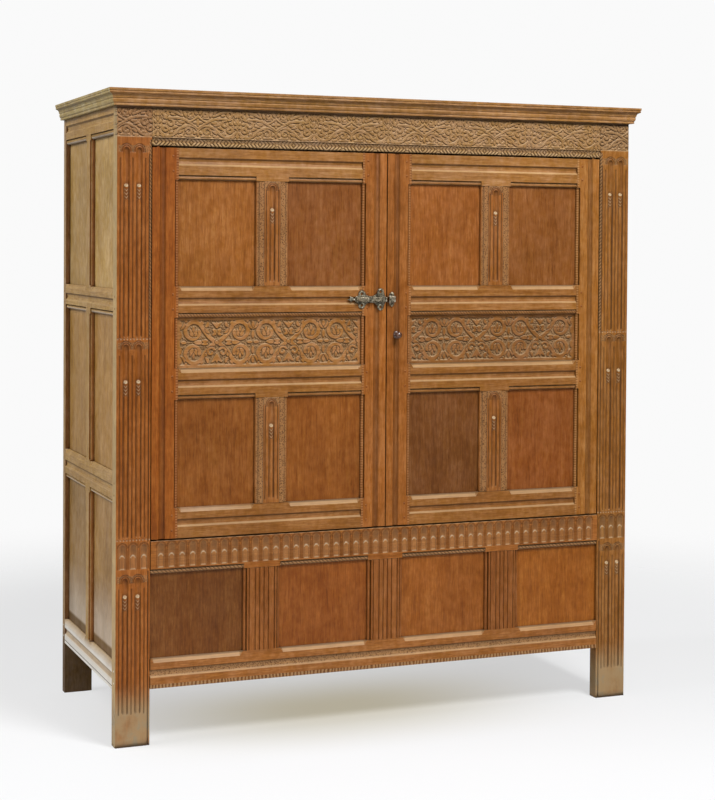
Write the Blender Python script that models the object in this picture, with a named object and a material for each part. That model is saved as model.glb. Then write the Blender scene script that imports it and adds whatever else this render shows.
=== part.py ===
# Clothes press in joined oak: a panelled carcass, two framed doors on pin hinges and an iron bolt.
# Metres, +Z up, front towards -Y, origin under the middle of the bounding box.
import math

import bmesh
import bpy
from mathutils import Matrix, Vector

MILLIMETRE = 0.001

# Clearances
FIT_GAP = 0.0003
HINGE_GAP = 0.002
MEETING_GAP = 0.003
DOOR_GAP = 0.0045
BOLT_GAP = 0.0005

# Carcass
CARCASS_WIDTH = 1.624
CARCASS_DEPTH = 0.670
FOOT_HEIGHT = 0.157
BOTTOM_RAIL_HEIGHT = 0.0845
BASE_PANEL_HEIGHT = 0.2365
ARCADE_RAIL_HEIGHT = 0.0925
FRIEZE_RAIL_HEIGHT = 0.131
FRIEZE_RAIL_THICKNESS = 0.044
RAIL_THICKNESS = 0.034
POST_WIDTH = 0.100
POST_THICKNESS = 0.038
REAR_POST_WIDTH = 0.086
REAR_POST_THICKNESS = 0.030
BASE_MUNTIN_WIDTH = 0.110
BASE_PANEL_COUNT = 4
BACK_SETBACK = 0.002
DOOR_STOP_DROP = 0.012
DOOR_STOP_MARGIN = 0.090

# Boards that close the carcass
TOP_BOARD_THICKNESS = 0.024
TOP_BOARD_COUNT = 3
BACK_BOARD_THICKNESS = 0.016
BACK_BOARD_COUNT = 6
BACK_LAP = 0.012
BATTEN_THICKNESS = 0.024
BATTEN_HEIGHT = 0.074
FLOOR_THICKNESS = 0.016
FLOOR_DROP = 0.030
FLOOR_TONGUE = 0.008
BOARD_JOINT_WIDTH = 0.004
BOARD_JOINT_DEPTH = 0.002

# Cornice: each member's corners, as (projection, drop below the top) pairs
CORNICE_HEIGHT = 0.047
CORNICE_PROJECTION = 0.028
CORNICE_FILLET = ((CORNICE_PROJECTION, 0), (0.0278, 0.0068))
CORNICE_UPPER_LINE = ((0.0260, 0.0074), (0.0260, 0.0096))
CORNICE_BEAD = ((0.0270, 0.0104), (0.0268, 0.0122), (0.0254, 0.0142))
CORNICE_COVE = ((0.0234, 0.0148), (0.0206, 0.0162), (0.0184, 0.0184), (0.0170, 0.0212), (0.0164, 0.0256))
CORNICE_MIDDLE_LINE = ((0.0144, 0.0274), (0.0144, 0.0294))
CORNICE_BAND = ((0.0152, 0.0304), (0.0150, 0.0336), (0.0142, 0.0366), (0.0128, 0.0394))
CORNICE_LOWER_LINE = ((0.0110, 0.0404), (0.0110, 0.0422))
CORNICE_FOOT = ((0.0122, 0.0432), (0.0114, CORNICE_HEIGHT))

# Sides
SIDE_THICKNESS = 0.029
SIDE_RECESS = 0.014
SIDE_BOTTOM_RAIL = 0.074
SIDE_LOWER_RAIL = 0.088
SIDE_UPPER_RAIL = 0.075
SIDE_TOP_RAIL = 0.099
SIDE_LOWER_SHARE = 0.338
SIDE_MIDDLE_SHARE = 0.333
SIDE_MUNTIN_WIDTH = 0.056
SIDE_TENON_LENGTH = 0.018

# Doors
DOOR_SETBACK = 0.004
DOOR_THICKNESS = 0.028
STILE_WIDTH = 0.076
DOOR_BOTTOM_RAIL = 0.0855
DOOR_LOWER_PANEL = 0.3037
DOOR_LOWER_RAIL = 0.088
DOOR_CARVED_PANEL = 0.1425
DOOR_UPPER_RAIL = 0.088
DOOR_UPPER_PANEL = 0.299
DOOR_TOP_RAIL = 0.0888
DOOR_MUNTIN_WIDTH = 0.098
PIN_INSET = 0.018
PIN_DEPTH = 0.008
PIN_RADIUS = 0.005
PIN_ENGAGEMENT = 0.012

# Panels and joints
PANEL_RECESS = 0.0125
PANEL_EDGE = 0.0074
PANEL_TONGUE = 0.008
PANEL_FIELD = 0.0025
PANEL_FEATHER = 0.022
TENON_LENGTH = 0.034
TENON_SHOULDER = 0.012

# Mouldings
CHANNEL_WIDTH = 0.022
CHANNEL_DEPTH = 0.006
RAIL_CHANNEL_RISE = 0.0425
TOP_CHANNEL_DROP = 0.0375
SIDE_CHANNEL_DROP = 0.053
STILE_CHANNEL_WIDTH = 0.019
STILE_CHANNEL_INSET = 0.0305
BEAD_WIDTH = 0.0135
BEAD_DEPTH = 0.0095
JAMB_WIDTH = 0.0105
JAMB_DEPTH = 0.0085
JAMB_STOP = 0.004
QUIRK_WIDTH = 0.0012
QUIRK_DEPTH = 0.0035
SILL_HEIGHT = 0.0125
SILL_DEPTH = 0.0105
SILL_STOP = 0.010
FRIEZE_BEAD = 0.0215
FRIEZE_BEAD_DEPTH = 0.0045
FRIEZE_QUIRK = 0.0025

# Flutes and reeds
FLUTE_WIDTH = 0.018
FLUTE_DEPTH = 0.006
REED_RADIUS = 0.0058
REED_SINK = 0.0003
POST_FLUTE_OUTER = 0.0275
POST_FLUTE_INNER = 0.064
POST_GROOVES = (0.0097, 0.0455, 0.0818)
POST_QUIRK = 0.0926
POST_QUIRK_WIDTH = 0.0026
POST_ARRIS = 0.006
GROOVE_WIDTH = 0.0036
GROOVE_DEPTH = 0.0026
FLUTE_HEAD_DROP = 0.012
POST_UPPER_STOP = 0.108
POST_MIDDLE_STOP = 0.102
POST_BASE_STOP = 0.048
POST_BREAK_RISE = 0.0165
POST_BREAK_BAND = 0.018
POST_FOOT_PLAIN = 0.090
MUNTIN_STOP = 0.082
MUNTIN_GROOVE = 0.019
MUNTIN_QUIRK = 0.025
MARGIN_DEPTH = 0.0016
BASE_REED = 0.0132
ARCADE_PITCH = 0.031
ARCADE_WIDTH = 0.022
ARCADE_DEPTH = 0.004
ARCADE_MARGIN_TOP = 0.0045
ARCADE_MARGIN_LOW = 0.0175

# Ironwork
PLATE_LENGTH = 0.118
PLATE_THICKNESS = 0.0025
PLATE_EDGE_INSET = 0.004
PLATE_FINIAL = ((0, 0), (0.006, 0.0025), (0.010, 0.0075), (0.015, 0.0035), (0.021, 0.003), (0.027, 0.0085))
PLATE_REAR_LOBE = (0.044, 0.0165, 0.0105)
PLATE_WAIST = ((0.058, 0.0125), (0.071, 0.0090), (0.084, 0.0110))
PLATE_FRONT_LOBE = (0.1035, 0.0225, 0.0100)
PLATE_END = ((0.1165, 0.0105), (PLATE_LENGTH, 0.0075))
BOLT_RISE = 0.0043
BOLT_LENGTH = 0.096
BOLT_TALL = 0.012
BOLT_DEEP = 0.008
BOLT_SETBACK = 0.0015
STRAP_WIDTH = 0.010
STRAP_WALL = 0.002
REAR_STRAP_BACK = 0.053
KEEPER_INSET = 0.0015
KEEPER_LENGTH = 0.020
KEEPER_FOOT_LENGTH = 0.015
KEEPER_FOOT_TALL = 0.034
BOLT_GRIP_RADIUS = 0.0045
BOLT_GRIP_BACK = 0.087
KNOB_INSET = 0.031
KNOB_RISE = 0.015
KNOB_RADIUS = 0.0105
KNOB_LENGTH = 0.024
KNOB_ROSE = 0.0115
KNOB_ROSE_THICKNESS = 0.0025
KNOB_SHANK = 0.004
KNOB_SHANK_LENGTH = 0.016

# Facets
ROUND_STEPS = 4
BEAD_STEPS = 4
PIN_SIDES = 16
FLUTE_SIDES = 12
ARCADE_SIDES = 8
KNOB_SIDES = 16
WELD = 0.00001
COUNT_SLACK = 0.001
CUT_OVERSHOOT = 0.001

# Levels and planes that follow from the sizes above
BASE_LOW = FOOT_HEIGHT + BOTTOM_RAIL_HEIGHT
BASE_HIGH = BASE_LOW + BASE_PANEL_HEIGHT
ARCADE_TOP = BASE_HIGH + ARCADE_RAIL_HEIGHT
DOOR_LOW = ARCADE_TOP + DOOR_GAP
LOWER_PANEL_LOW = DOOR_LOW + DOOR_BOTTOM_RAIL
LOWER_PANEL_HIGH = LOWER_PANEL_LOW + DOOR_LOWER_PANEL
CARVED_LOW = LOWER_PANEL_HIGH + DOOR_LOWER_RAIL
CARVED_HIGH = CARVED_LOW + DOOR_CARVED_PANEL
UPPER_PANEL_LOW = CARVED_HIGH + DOOR_UPPER_RAIL
UPPER_PANEL_HIGH = UPPER_PANEL_LOW + DOOR_UPPER_PANEL
DOOR_HIGH = UPPER_PANEL_HIGH + DOOR_TOP_RAIL
FRIEZE_LOW = DOOR_HIGH + DOOR_GAP
FRAME_TOP = FRIEZE_LOW + FRIEZE_RAIL_HEIGHT
TOP = FRAME_TOP + TOP_BOARD_THICKNESS
HALF_WIDTH = CARCASS_WIDTH / 2
OPENING_HALF = HALF_WIDTH - POST_WIDTH
FRONT = (CORNICE_PROJECTION - CARCASS_DEPTH) / 2
BACK = FRONT + CARCASS_DEPTH
DOOR_FRONT = FRONT + DOOR_SETBACK
FLOOR_TOP = BASE_LOW - FLOOR_DROP
CARVED_MIDDLE = (CARVED_LOW + CARVED_HIGH) / 2
POST_MIDDLE_BREAK = CARVED_MIDDLE + POST_BREAK_RISE
KNOB_X = MEETING_GAP / 2 + KNOB_INSET
KNOB_Z = CARVED_MIDDLE + KNOB_RISE
KEEPER_START = MEETING_GAP / 2 + KEEPER_INSET
BOLT_MIDDLE = (CARVED_HIGH + UPPER_PANEL_LOW) / 2 + BOLT_RISE

# Local axes of an outline's own plane: its u, v and length go to the world axes named here
ALONG_X = Matrix(((0, 0, 1, 0), (1, 0, 0, 0), (0, 1, 0, 0), (0, 0, 0, 1)))
ALONG_Z = Matrix.Identity(4)
# Local face frames: X along the face, Y into the wood, Z up
FRONT_FACE = Matrix.Translation((0, FRONT, 0))
DOOR_FACE = Matrix.Translation((0, DOOR_FRONT, 0))
LEFT_FACE = Matrix.Translation((-HALF_WIDTH, 0, 0)) @ Matrix.Rotation(-math.pi / 2, 4, "Z")
RIGHT_FACE = Matrix.Translation((HALF_WIDTH, 0, 0)) @ Matrix.Rotation(math.pi / 2, 4, "Z")


def new_collection(name):
    group = bpy.data.collections.new(name)
    bpy.context.scene.collection.children.link(group)
    return group


def new_material(name, colour, roughness, metallic):
    made = bpy.data.materials.new(name)
    made.use_nodes = True
    shader = made.node_tree.nodes["Principled BSDF"]
    shader.inputs["Base Color"].default_value = (*colour, 1)
    shader.inputs["Roughness"].default_value = roughness
    shader.inputs["Metallic"].default_value = metallic
    return made


def finished(shell):
    # Writes a bmesh out as a closed mesh with its faces turned outwards.
    bmesh.ops.remove_doubles(shell, verts=shell.verts, dist=WELD)
    bmesh.ops.recalc_face_normals(shell, faces=shell.faces)
    mesh = bpy.data.meshes.new("shape")
    shell.to_mesh(mesh)
    shell.free()
    return mesh


def block(low, high):
    shell = bmesh.new()
    bmesh.ops.create_cube(shell, size=1)
    size = Vector(high) - Vector(low)
    centre = (Vector(high) + Vector(low)) / 2
    move = Matrix.Translation(centre) @ Matrix.Diagonal((*size, 1))
    bmesh.ops.transform(shell, matrix=move, verts=shell.verts)
    return finished(shell)


def arc(centre, radius, start, end, steps):
    points = []
    for step in range(steps + 1):
        angle = math.radians(start + (end - start) * step / steps)
        points.append((centre[0] + radius * math.cos(angle), centre[1] + radius * math.sin(angle)))
    return points


def hollow(middle, width, depth, steps):
    # A shallow round hollow as (distance along the face, depth) pairs.
    radius = (width * width / 4 + depth * depth) / (2 * depth)
    spread = math.degrees(math.asin(width / 2 / radius))
    return arc((middle, depth - radius), radius, 90 + spread, 90 - spread, steps)


def bar(outline, axes, start, end):
    # A filled outline extruded from start to end along the axis that the matrix gives its length.
    # It is drawn in millimetres, since a filled curve drops triangles that are very small.
    curve = bpy.data.curves.new("outline", "CURVE")
    curve.dimensions = "2D"
    curve.fill_mode = "BOTH"
    curve.extrude = (end - start) / 2 / MILLIMETRE
    spline = curve.splines.new("POLY")
    spline.points.add(len(outline) - 1)
    for point, (u, v) in zip(spline.points, outline):
        point.co = (u / MILLIMETRE, v / MILLIMETRE, 0, 1)
    spline.use_cyclic_u = True
    holder = bpy.data.objects.new("outline", curve)
    raw = bpy.data.meshes.new_from_object(holder)
    shell = bmesh.new()
    shell.from_mesh(raw)
    bpy.data.objects.remove(holder)
    bpy.data.curves.remove(curve)
    bpy.data.meshes.remove(raw)
    move = axes @ Matrix.Translation((0, 0, (start + end) / 2)) @ Matrix.Scale(MILLIMETRE, 4)
    bmesh.ops.transform(shell, matrix=move, verts=shell.verts)
    return finished(shell)


def hull(points):
    shell = bmesh.new()
    for point in points:
        shell.verts.new(point)
    bmesh.ops.convex_hull(shell, input=shell.verts)
    return finished(shell)


def pin(foot, axis, radius, length, sides):
    # A round pin that starts at foot and runs along axis.
    shell = bmesh.new()
    bmesh.ops.create_cone(shell, cap_ends=True, segments=sides, radius1=radius, radius2=radius, depth=length)
    turn = Vector((0, 0, 1)).rotation_difference(Vector(axis)).to_matrix().to_4x4()
    move = Matrix.Translation(Vector(foot)) @ turn @ Matrix.Translation((0, 0, length / 2))
    bmesh.ops.transform(shell, matrix=move, verts=shell.verts)
    return finished(shell)


def capsule(x, depth, radius, low, high, sides):
    # An upright round bar with domed ends, its axis at the given depth behind the face.
    rings = 5
    equator = math.cos(math.pi / 2 / rings)
    shell = bmesh.new()
    bmesh.ops.create_uvsphere(shell, u_segments=sides, v_segments=rings, radius=radius / equator)
    reach = radius / equator
    for vert in shell.verts:
        vert.co.z += high - reach if vert.co.z > 0 else low + reach
    turn = Matrix.Translation((x, depth, 0)) @ Matrix.Rotation(math.pi / sides, 4, "Z")
    bmesh.ops.transform(shell, matrix=turn, verts=shell.verts)
    return finished(shell)


def lathe(profile, foot, sides):
    # Spins (distance in front of the foot, radius) pairs about an axis towards -Y.
    shell = bmesh.new()
    points = [shell.verts.new((radius, -ahead, 0)) for ahead, radius in profile]
    edges = [shell.edges.new(pair) for pair in zip(points, points[1:])]
    bmesh.ops.spin(shell, geom=points + edges, cent=(0, 0, 0), axis=(0, 1, 0), angle=math.tau,
                   steps=sides, use_merge=True)
    bmesh.ops.translate(shell, vec=foot, verts=shell.verts)
    return finished(shell)


def joined(meshes):
    shell = bmesh.new()
    for mesh in meshes:
        shell.from_mesh(mesh)
        bpy.data.meshes.remove(mesh)
    mesh = bpy.data.meshes.new("joined")
    shell.to_mesh(mesh)
    shell.free()
    return mesh


def boolean(mesh, tools, operation):
    # One exact Boolean with all the tools, which lie clear of each other, as a single operand.
    if not tools:
        return mesh
    target = bpy.data.objects.new("target", mesh)
    operand = bpy.data.objects.new("operand", joined(tools))
    scene_root = bpy.context.scene.collection
    scene_root.objects.link(target)
    scene_root.objects.link(operand)
    step = target.modifiers.new("step", "BOOLEAN")
    step.operation = operation
    step.solver = "EXACT"
    step.object = operand
    ready = target.evaluated_get(bpy.context.evaluated_depsgraph_get())
    result = bpy.data.meshes.new_from_object(ready)
    spent = (mesh, operand.data)
    bpy.data.objects.remove(target)
    bpy.data.objects.remove(operand)
    for used in spent:
        bpy.data.meshes.remove(used)
    return result


def cut(mesh, tools):
    return boolean(mesh, tools, "DIFFERENCE")


def add(mesh, tools):
    return boolean(mesh, tools, "UNION")


def placed(mesh, move):
    mesh.transform(move)
    return mesh


def body(name, parent, place):
    empty = bpy.data.objects.new(name, None)
    assembly.objects.link(empty)
    empty.parent = parent
    empty.location = Vector(place) - (Vector(places[parent.name]) if parent else Vector())
    places[name] = place
    return empty


def node(name, mesh, material, owner):
    # One part of the press, its origin on its body's own axis.
    mesh.name = name
    mesh.transform(Matrix.Translation(-Vector(places[owner.name])))
    mesh.materials.clear()
    mesh.materials.append(material)
    made = bpy.data.objects.new(name, mesh)
    assembly.objects.link(made)
    made.parent = owner
    return made


# Shapes below are in a face frame: X along the face, Y from the face into the wood, Z up

def panel_slab(opening, recess, grow):
    x1, x2, z1, z2 = opening
    reach = PANEL_TONGUE + grow
    low = (x1 - reach, recess - grow, z1 - reach)
    high = (x2 + reach, recess + PANEL_EDGE + grow, z2 + reach)
    return block(low, high)


def panel(opening, recess):
    # A board with thin edges for its grooves and a thicker field behind.
    shell = bmesh.new()
    slab = panel_slab(opening, recess, 0)
    shell.from_mesh(slab)
    bpy.data.meshes.remove(slab)
    rear = max(shell.faces, key=lambda face: face.calc_center_median().y)
    for thickness, rise in ((PANEL_TONGUE + 2 * FIT_GAP, 0), (PANEL_FEATHER, PANEL_FIELD)):
        bmesh.ops.inset_region(shell, faces=[rear], thickness=thickness, depth=rise, use_even_offset=True)
    return finished(shell)


def panel_seat(opening, recess):
    return panel_slab(opening, recess, FIT_GAP)


def tenon(x, way, low, high, recess, length, grow):
    # A tenon that leaves the shoulder at x in the direction way; grown, it is its own mortise.
    ends = sorted((x - way * length / 4, x + way * (length + grow)))
    low_corner = (ends[0], recess - grow, low + TENON_SHOULDER - grow)
    high_corner = (ends[1], recess + PANEL_EDGE + grow, high - TENON_SHOULDER + grow)
    return block(low_corner, high_corner)


def bead_points(width, depth):
    # A bead and the quirk behind it, as (distance from the opening, depth) pairs.
    radius = width * 0.46
    quirk = (width - QUIRK_WIDTH, depth - radius + QUIRK_DEPTH)
    return arc((radius, depth), radius, 180, 300, BEAD_STEPS) + [quirk]


def bead_waste(width, depth):
    # What a plane takes off to leave that bead, carried past the wood on both sides.
    points = bead_points(width, depth)
    steep = QUIRK_WIDTH * CUT_OVERSHOOT / points[-1][1]
    outside = [(width + steep, -CUT_OVERSHOOT), (-CUT_OVERSHOOT, -CUT_OVERSHOOT), (-CUT_OVERSHOOT, depth)]
    return points + outside


def head_bead(x1, x2, z):
    outline = [(depth, z + away) for away, depth in bead_waste(BEAD_WIDTH, BEAD_DEPTH)]
    return bar(outline, ALONG_X, x1, x2)


def jamb_bead(x, way, z1, z2):
    outline = [(x + way * away, depth) for away, depth in bead_waste(JAMB_WIDTH, JAMB_DEPTH)]
    return bar(outline, ALONG_Z, z1, z2)


def sill_chamfer(x1, x2, z):
    # The waste of a chamfer that runs out in a slanted stop at each end.
    over = 0.1
    outer = (-SILL_DEPTH * over, z + SILL_HEIGHT * over)
    face = (-SILL_DEPTH * over, z - SILL_HEIGHT * (1 + over))
    deep = (SILL_DEPTH * (1 + over), z + SILL_HEIGHT * over)
    points = []
    for end, way in ((x1, 1), (x2, -1)):
        points.append((end, *outer))
        for corner in (face, deep):
            points.append((end + way * SILL_STOP, *corner))
    return hull(points)


def groove(x, low, high):
    half = GROOVE_WIDTH / 2
    outline = [(x - half - half * 0.5, -GROOVE_DEPTH * 0.5), (x, GROOVE_DEPTH)]
    outline.append((x + half + half * 0.5, -GROOVE_DEPTH * 0.5))
    return bar(outline, ALONG_Z, low, high)


def flute(x, width, depth, low, high, sides):
    # A hollow with round ends; its circle is set so that it is as wide and deep as asked at the face.
    radius = (width * width / 4 + depth * depth) / (2 * depth)
    lift = radius - width / 2
    return capsule(x, depth - radius, radius, low - lift, high + lift, sides)


def reed(x, low, high):
    # The round cable that fills the lower part of a flute, just under the face.
    return capsule(x, REED_RADIUS + REED_SINK, REED_RADIUS, low, high, FLUTE_SIDES)


def arcade(x1, x2):
    count = int((x2 - x1) / ARCADE_PITCH + COUNT_SLACK)
    first = (x1 + x2 - (count - 1) * ARCADE_PITCH) / 2
    low = BASE_HIGH + ARCADE_MARGIN_LOW
    high = ARCADE_TOP - ARCADE_MARGIN_TOP
    cells = []
    for index in range(count):
        middle = first + index * ARCADE_PITCH
        cells.append(flute(middle, ARCADE_WIDTH, ARCADE_DEPTH, low, high, ARCADE_SIDES))
    return cells


def rail_bar(x1, x2, low, high, thickness, channel_z):
    # A rail with a hollow channel along its face, or a plain one where channel_z is None.
    outline = [(0, low)]
    if channel_z is not None:
        outline += [(depth, z) for z, depth in hollow(channel_z, CHANNEL_WIDTH, CHANNEL_DEPTH, ROUND_STEPS)]
    outline += [(0, high), (thickness, high), (thickness, low)]
    return bar(outline, ALONG_X, x1, x2)


def stile_bar(edge, way, low, high):
    # A door stile whose outer edge is at edge and whose width runs in the direction way.
    outline = [(edge, 0)]
    channel = hollow(STILE_CHANNEL_INSET, STILE_CHANNEL_WIDTH, CHANNEL_DEPTH, ROUND_STEPS)
    outline += [(edge + way * along, depth) for along, depth in channel]
    far = edge + way * STILE_WIDTH
    outline += [(far, 0), (far, DOOR_THICKNESS), (edge, DOOR_THICKNESS)]
    return bar(outline, ALONG_Z, low, high)


def stub_tenons(x1, x2, low, high, recess):
    # The tongues that hold a muntin in the grooves of the rails above and below it.
    inner1 = x1 + PANEL_TONGUE + 4 * FIT_GAP
    inner2 = x2 - PANEL_TONGUE - 4 * FIT_GAP
    tongues = []
    for end in ((low - PANEL_TONGUE, low + PANEL_TONGUE), (high - PANEL_TONGUE, high + PANEL_TONGUE)):
        tongues.append(block((inner1, recess, end[0]), (inner2, recess + PANEL_EDGE, end[1])))
    return tongues


def stub_mortise(x1, x2, z, way, recess):
    reach = PANEL_TONGUE + FIT_GAP
    inner1 = x1 + PANEL_TONGUE + 3 * FIT_GAP
    inner2 = x2 - PANEL_TONGUE - 3 * FIT_GAP
    ends = sorted((z - way * CUT_OVERSHOOT, z + way * reach))
    return block((inner1, recess - FIT_GAP, ends[0]), (inner2, recess + PANEL_EDGE + FIT_GAP, ends[1]))


def split_row(x1, x2, count, muntin):
    # The openings that count panels and the muntins between them leave from x1 to x2.
    width = (x2 - x1 - (count - 1) * muntin) / count
    return [(x1 + index * (width + muntin), x1 + index * (width + muntin) + width) for index in range(count)]


def muntin_spans(spans):
    return [(left[1], right[0]) for left, right in zip(spans, spans[1:])]


def build_front_post(name, way):
    # way is 1 for the left post, whose outer edge is at the low end of X, and -1 for the right one.
    edge = -way * HALF_WIDTH
    inner = edge + way * POST_WIDTH
    half = POST_QUIRK_WIDTH / 2
    outline = [(0, 0), (POST_QUIRK - half, 0), (POST_QUIRK, GROOVE_DEPTH), (POST_QUIRK + half, 0)]
    outline += arc((POST_WIDTH - POST_ARRIS, POST_ARRIS), POST_ARRIS, -90, 0, ROUND_STEPS)
    outline += [(POST_WIDTH, POST_THICKNESS), (0, POST_THICKNESS)]
    mesh = bar([(edge + way * along, depth) for along, depth in outline], ALONG_Z, 0, FRAME_TOP)
    sections = (
        (POST_FOOT_PLAIN, BASE_HIGH - FLUTE_HEAD_DROP / 2, POST_BASE_STOP),
        (ARCADE_TOP + FLUTE_HEAD_DROP, POST_MIDDLE_BREAK - POST_BREAK_BAND, POST_MIDDLE_STOP),
        (POST_MIDDLE_BREAK, FRIEZE_LOW - FLUTE_HEAD_DROP / 2, POST_UPPER_STOP),
    )
    cuts = []
    cables = []
    for low, high, stop in sections:
        for along in (POST_FLUTE_OUTER, POST_FLUTE_INNER):
            x = edge + way * along
            cuts.append(flute(x, FLUTE_WIDTH, FLUTE_DEPTH, low, high, FLUTE_SIDES))
            cables.append(reed(x, low - FLUTE_WIDTH, high - stop))
        for along in POST_GROOVES:
            cuts.append(groove(edge + way * along, low, high - FLUTE_HEAD_DROP))
    cuts += arcade(*sorted((edge, inner)))
    mesh = cut(mesh, cuts)
    mesh = add(mesh, cables)
    seats = [panel_seat(base_openings[0 if way > 0 else -1], PANEL_RECESS)]
    for low, high, recess in front_rail_levels:
        seats.append(tenon(inner, -way, low, high, recess, TENON_LENGTH, FIT_GAP))
    mesh = cut(placed(mesh, FRONT_FACE), [placed(seat, FRONT_FACE) for seat in seats])
    face, openings = side_openings(-way)
    mesh = cut(mesh, side_seats(face, openings, FRONT + POST_THICKNESS, -1))
    return node(name, mesh, oak_carved, carcass)


def build_rear_post(name, way):
    edge = -way * HALF_WIDTH
    front = BACK - REAR_POST_THICKNESS
    lap = REAR_POST_WIDTH - BACK_LAP - FIT_GAP
    rebate = BACK - BACK_BOARD_THICKNESS - FIT_GAP
    outline = [(0, front), (REAR_POST_WIDTH, front), (REAR_POST_WIDTH, rebate)]
    outline += [(lap, rebate), (lap, BACK), (0, BACK)]
    mesh = bar([(edge + way * along, y) for along, y in outline], ALONG_Z, 0, FRAME_TOP)
    face, openings = side_openings(-way)
    mesh = cut(mesh, side_seats(face, openings, front, 1))
    return node(name, mesh, oak, carcass)


def side_openings(way):
    # The face frame of one side, and its panel openings from the lowest row up.
    face = RIGHT_FACE if way > 0 else LEFT_FACE
    x1, x2 = sorted((way * (FRONT + POST_THICKNESS), way * (BACK - REAR_POST_THICKNESS)))
    rows = []
    for low, high in side_rows:
        rows.append([(left, right, low, high) for left, right in split_row(x1, x2, 2, SIDE_MUNTIN_WIDTH)])
    return face, rows


def side_seats(face, rows, y, way):
    # What a post loses to the panels and rails of its side: the grooves and the mortises at plane y.
    across = (face.inverted() @ Vector((0, y, 0))).x
    outward = (face.to_3x3().inverted() @ Vector((0, way, 0))).x
    seats = []
    for row in rows:
        nearest = min(row, key=lambda opening: min(abs(opening[0] - across), abs(opening[1] - across)))
        seats.append(panel_seat(nearest, SIDE_RECESS))
    for low, high in side_rail_levels:
        seats.append(tenon(across, outward, low, high, SIDE_RECESS, SIDE_TENON_LENGTH, FIT_GAP))
    return [placed(seat, face) for seat in seats]


def build_side(name, way):
    # Rails and muntins of one side, framed together, and the six panels in their grooves.
    face, rows = side_openings(way)
    x1 = rows[0][0][0] + FIT_GAP
    x2 = rows[0][-1][1] - FIT_GAP
    parts = []
    for low, high in side_rail_levels:
        channel = high - SIDE_CHANNEL_DROP if high == FRAME_TOP else (low + high) / 2
        rail = rail_bar(x1, x2, low, high, SIDE_THICKNESS, channel)
        tenons = [tenon(x1, -1, low, high, SIDE_RECESS, SIDE_TENON_LENGTH, 0)]
        tenons.append(tenon(x2, 1, low, high, SIDE_RECESS, SIDE_TENON_LENGTH, 0))
        parts.append(add(rail, tenons))
    uprights = []
    for row in rows:
        for left, right in muntin_spans(row_spans(row)):
            low, high = row[0][2:]
            rear = SIDE_THICKNESS - BACK_SETBACK
            uprights.append(block((left, 0, low - SILL_HEIGHT), (right, rear, high + BEAD_WIDTH)))
    mesh = add(joined(parts), uprights)
    cuts = []
    for row in rows:
        for opening in row:
            cuts.append(panel_seat(opening, SIDE_RECESS))
            cuts.append(head_bead(opening[0], opening[1], opening[3]))
            cuts.append(sill_chamfer(opening[0], opening[1], opening[2]))
        left, right = muntin_spans(row_spans(row))[0]
        low, high = row[0][2] + JAMB_STOP, row[0][3] - JAMB_STOP
        cuts.append(jamb_bead(left, 1, low, high))
        cuts.append(jamb_bead(right, -1, low, high))
    mesh = placed(cut(mesh, cuts), face)
    mesh = cut(mesh, [floor_board(FIT_GAP)])
    node(f"{name}_side_frame", mesh, oak_side, carcass)
    ends = ("front", "rear") if way > 0 else ("rear", "front")
    for level, row in zip(("lower", "middle", "upper"), rows):
        for end, opening in zip(ends, row):
            board = placed(panel(opening, SIDE_RECESS), face)
            node(f"{name}_side_panel_{level}_{end}", board, oak_side, carcass)


def row_spans(row):
    return [(opening[0], opening[1]) for opening in row]


def floor_board(grow):
    # The floor, let into the rails all round and notched for the posts.
    side = HALF_WIDTH - SIDE_THICKNESS + FLOOR_TONGUE + grow
    front = FRONT + RAIL_THICKNESS - FLOOR_TONGUE - grow
    back = BACK - BACK_BOARD_THICKNESS - BATTEN_THICKNESS + FLOOR_TONGUE + grow
    front_notch = FRONT + POST_THICKNESS + FIT_GAP - grow
    back_notch = BACK - REAR_POST_THICKNESS - FIT_GAP + grow
    front_half = OPENING_HALF - FIT_GAP + grow
    back_half = HALF_WIDTH - REAR_POST_WIDTH - FIT_GAP + grow
    half = [(front_half, front), (front_half, front_notch), (side, front_notch)]
    half += [(side, back_notch), (back_half, back_notch), (back_half, back)]
    outline = half + [(-x, y) for x, y in reversed(half)]
    return bar(outline, ALONG_Z, FLOOR_TOP - FLOOR_THICKNESS - grow, FLOOR_TOP + grow)


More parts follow.
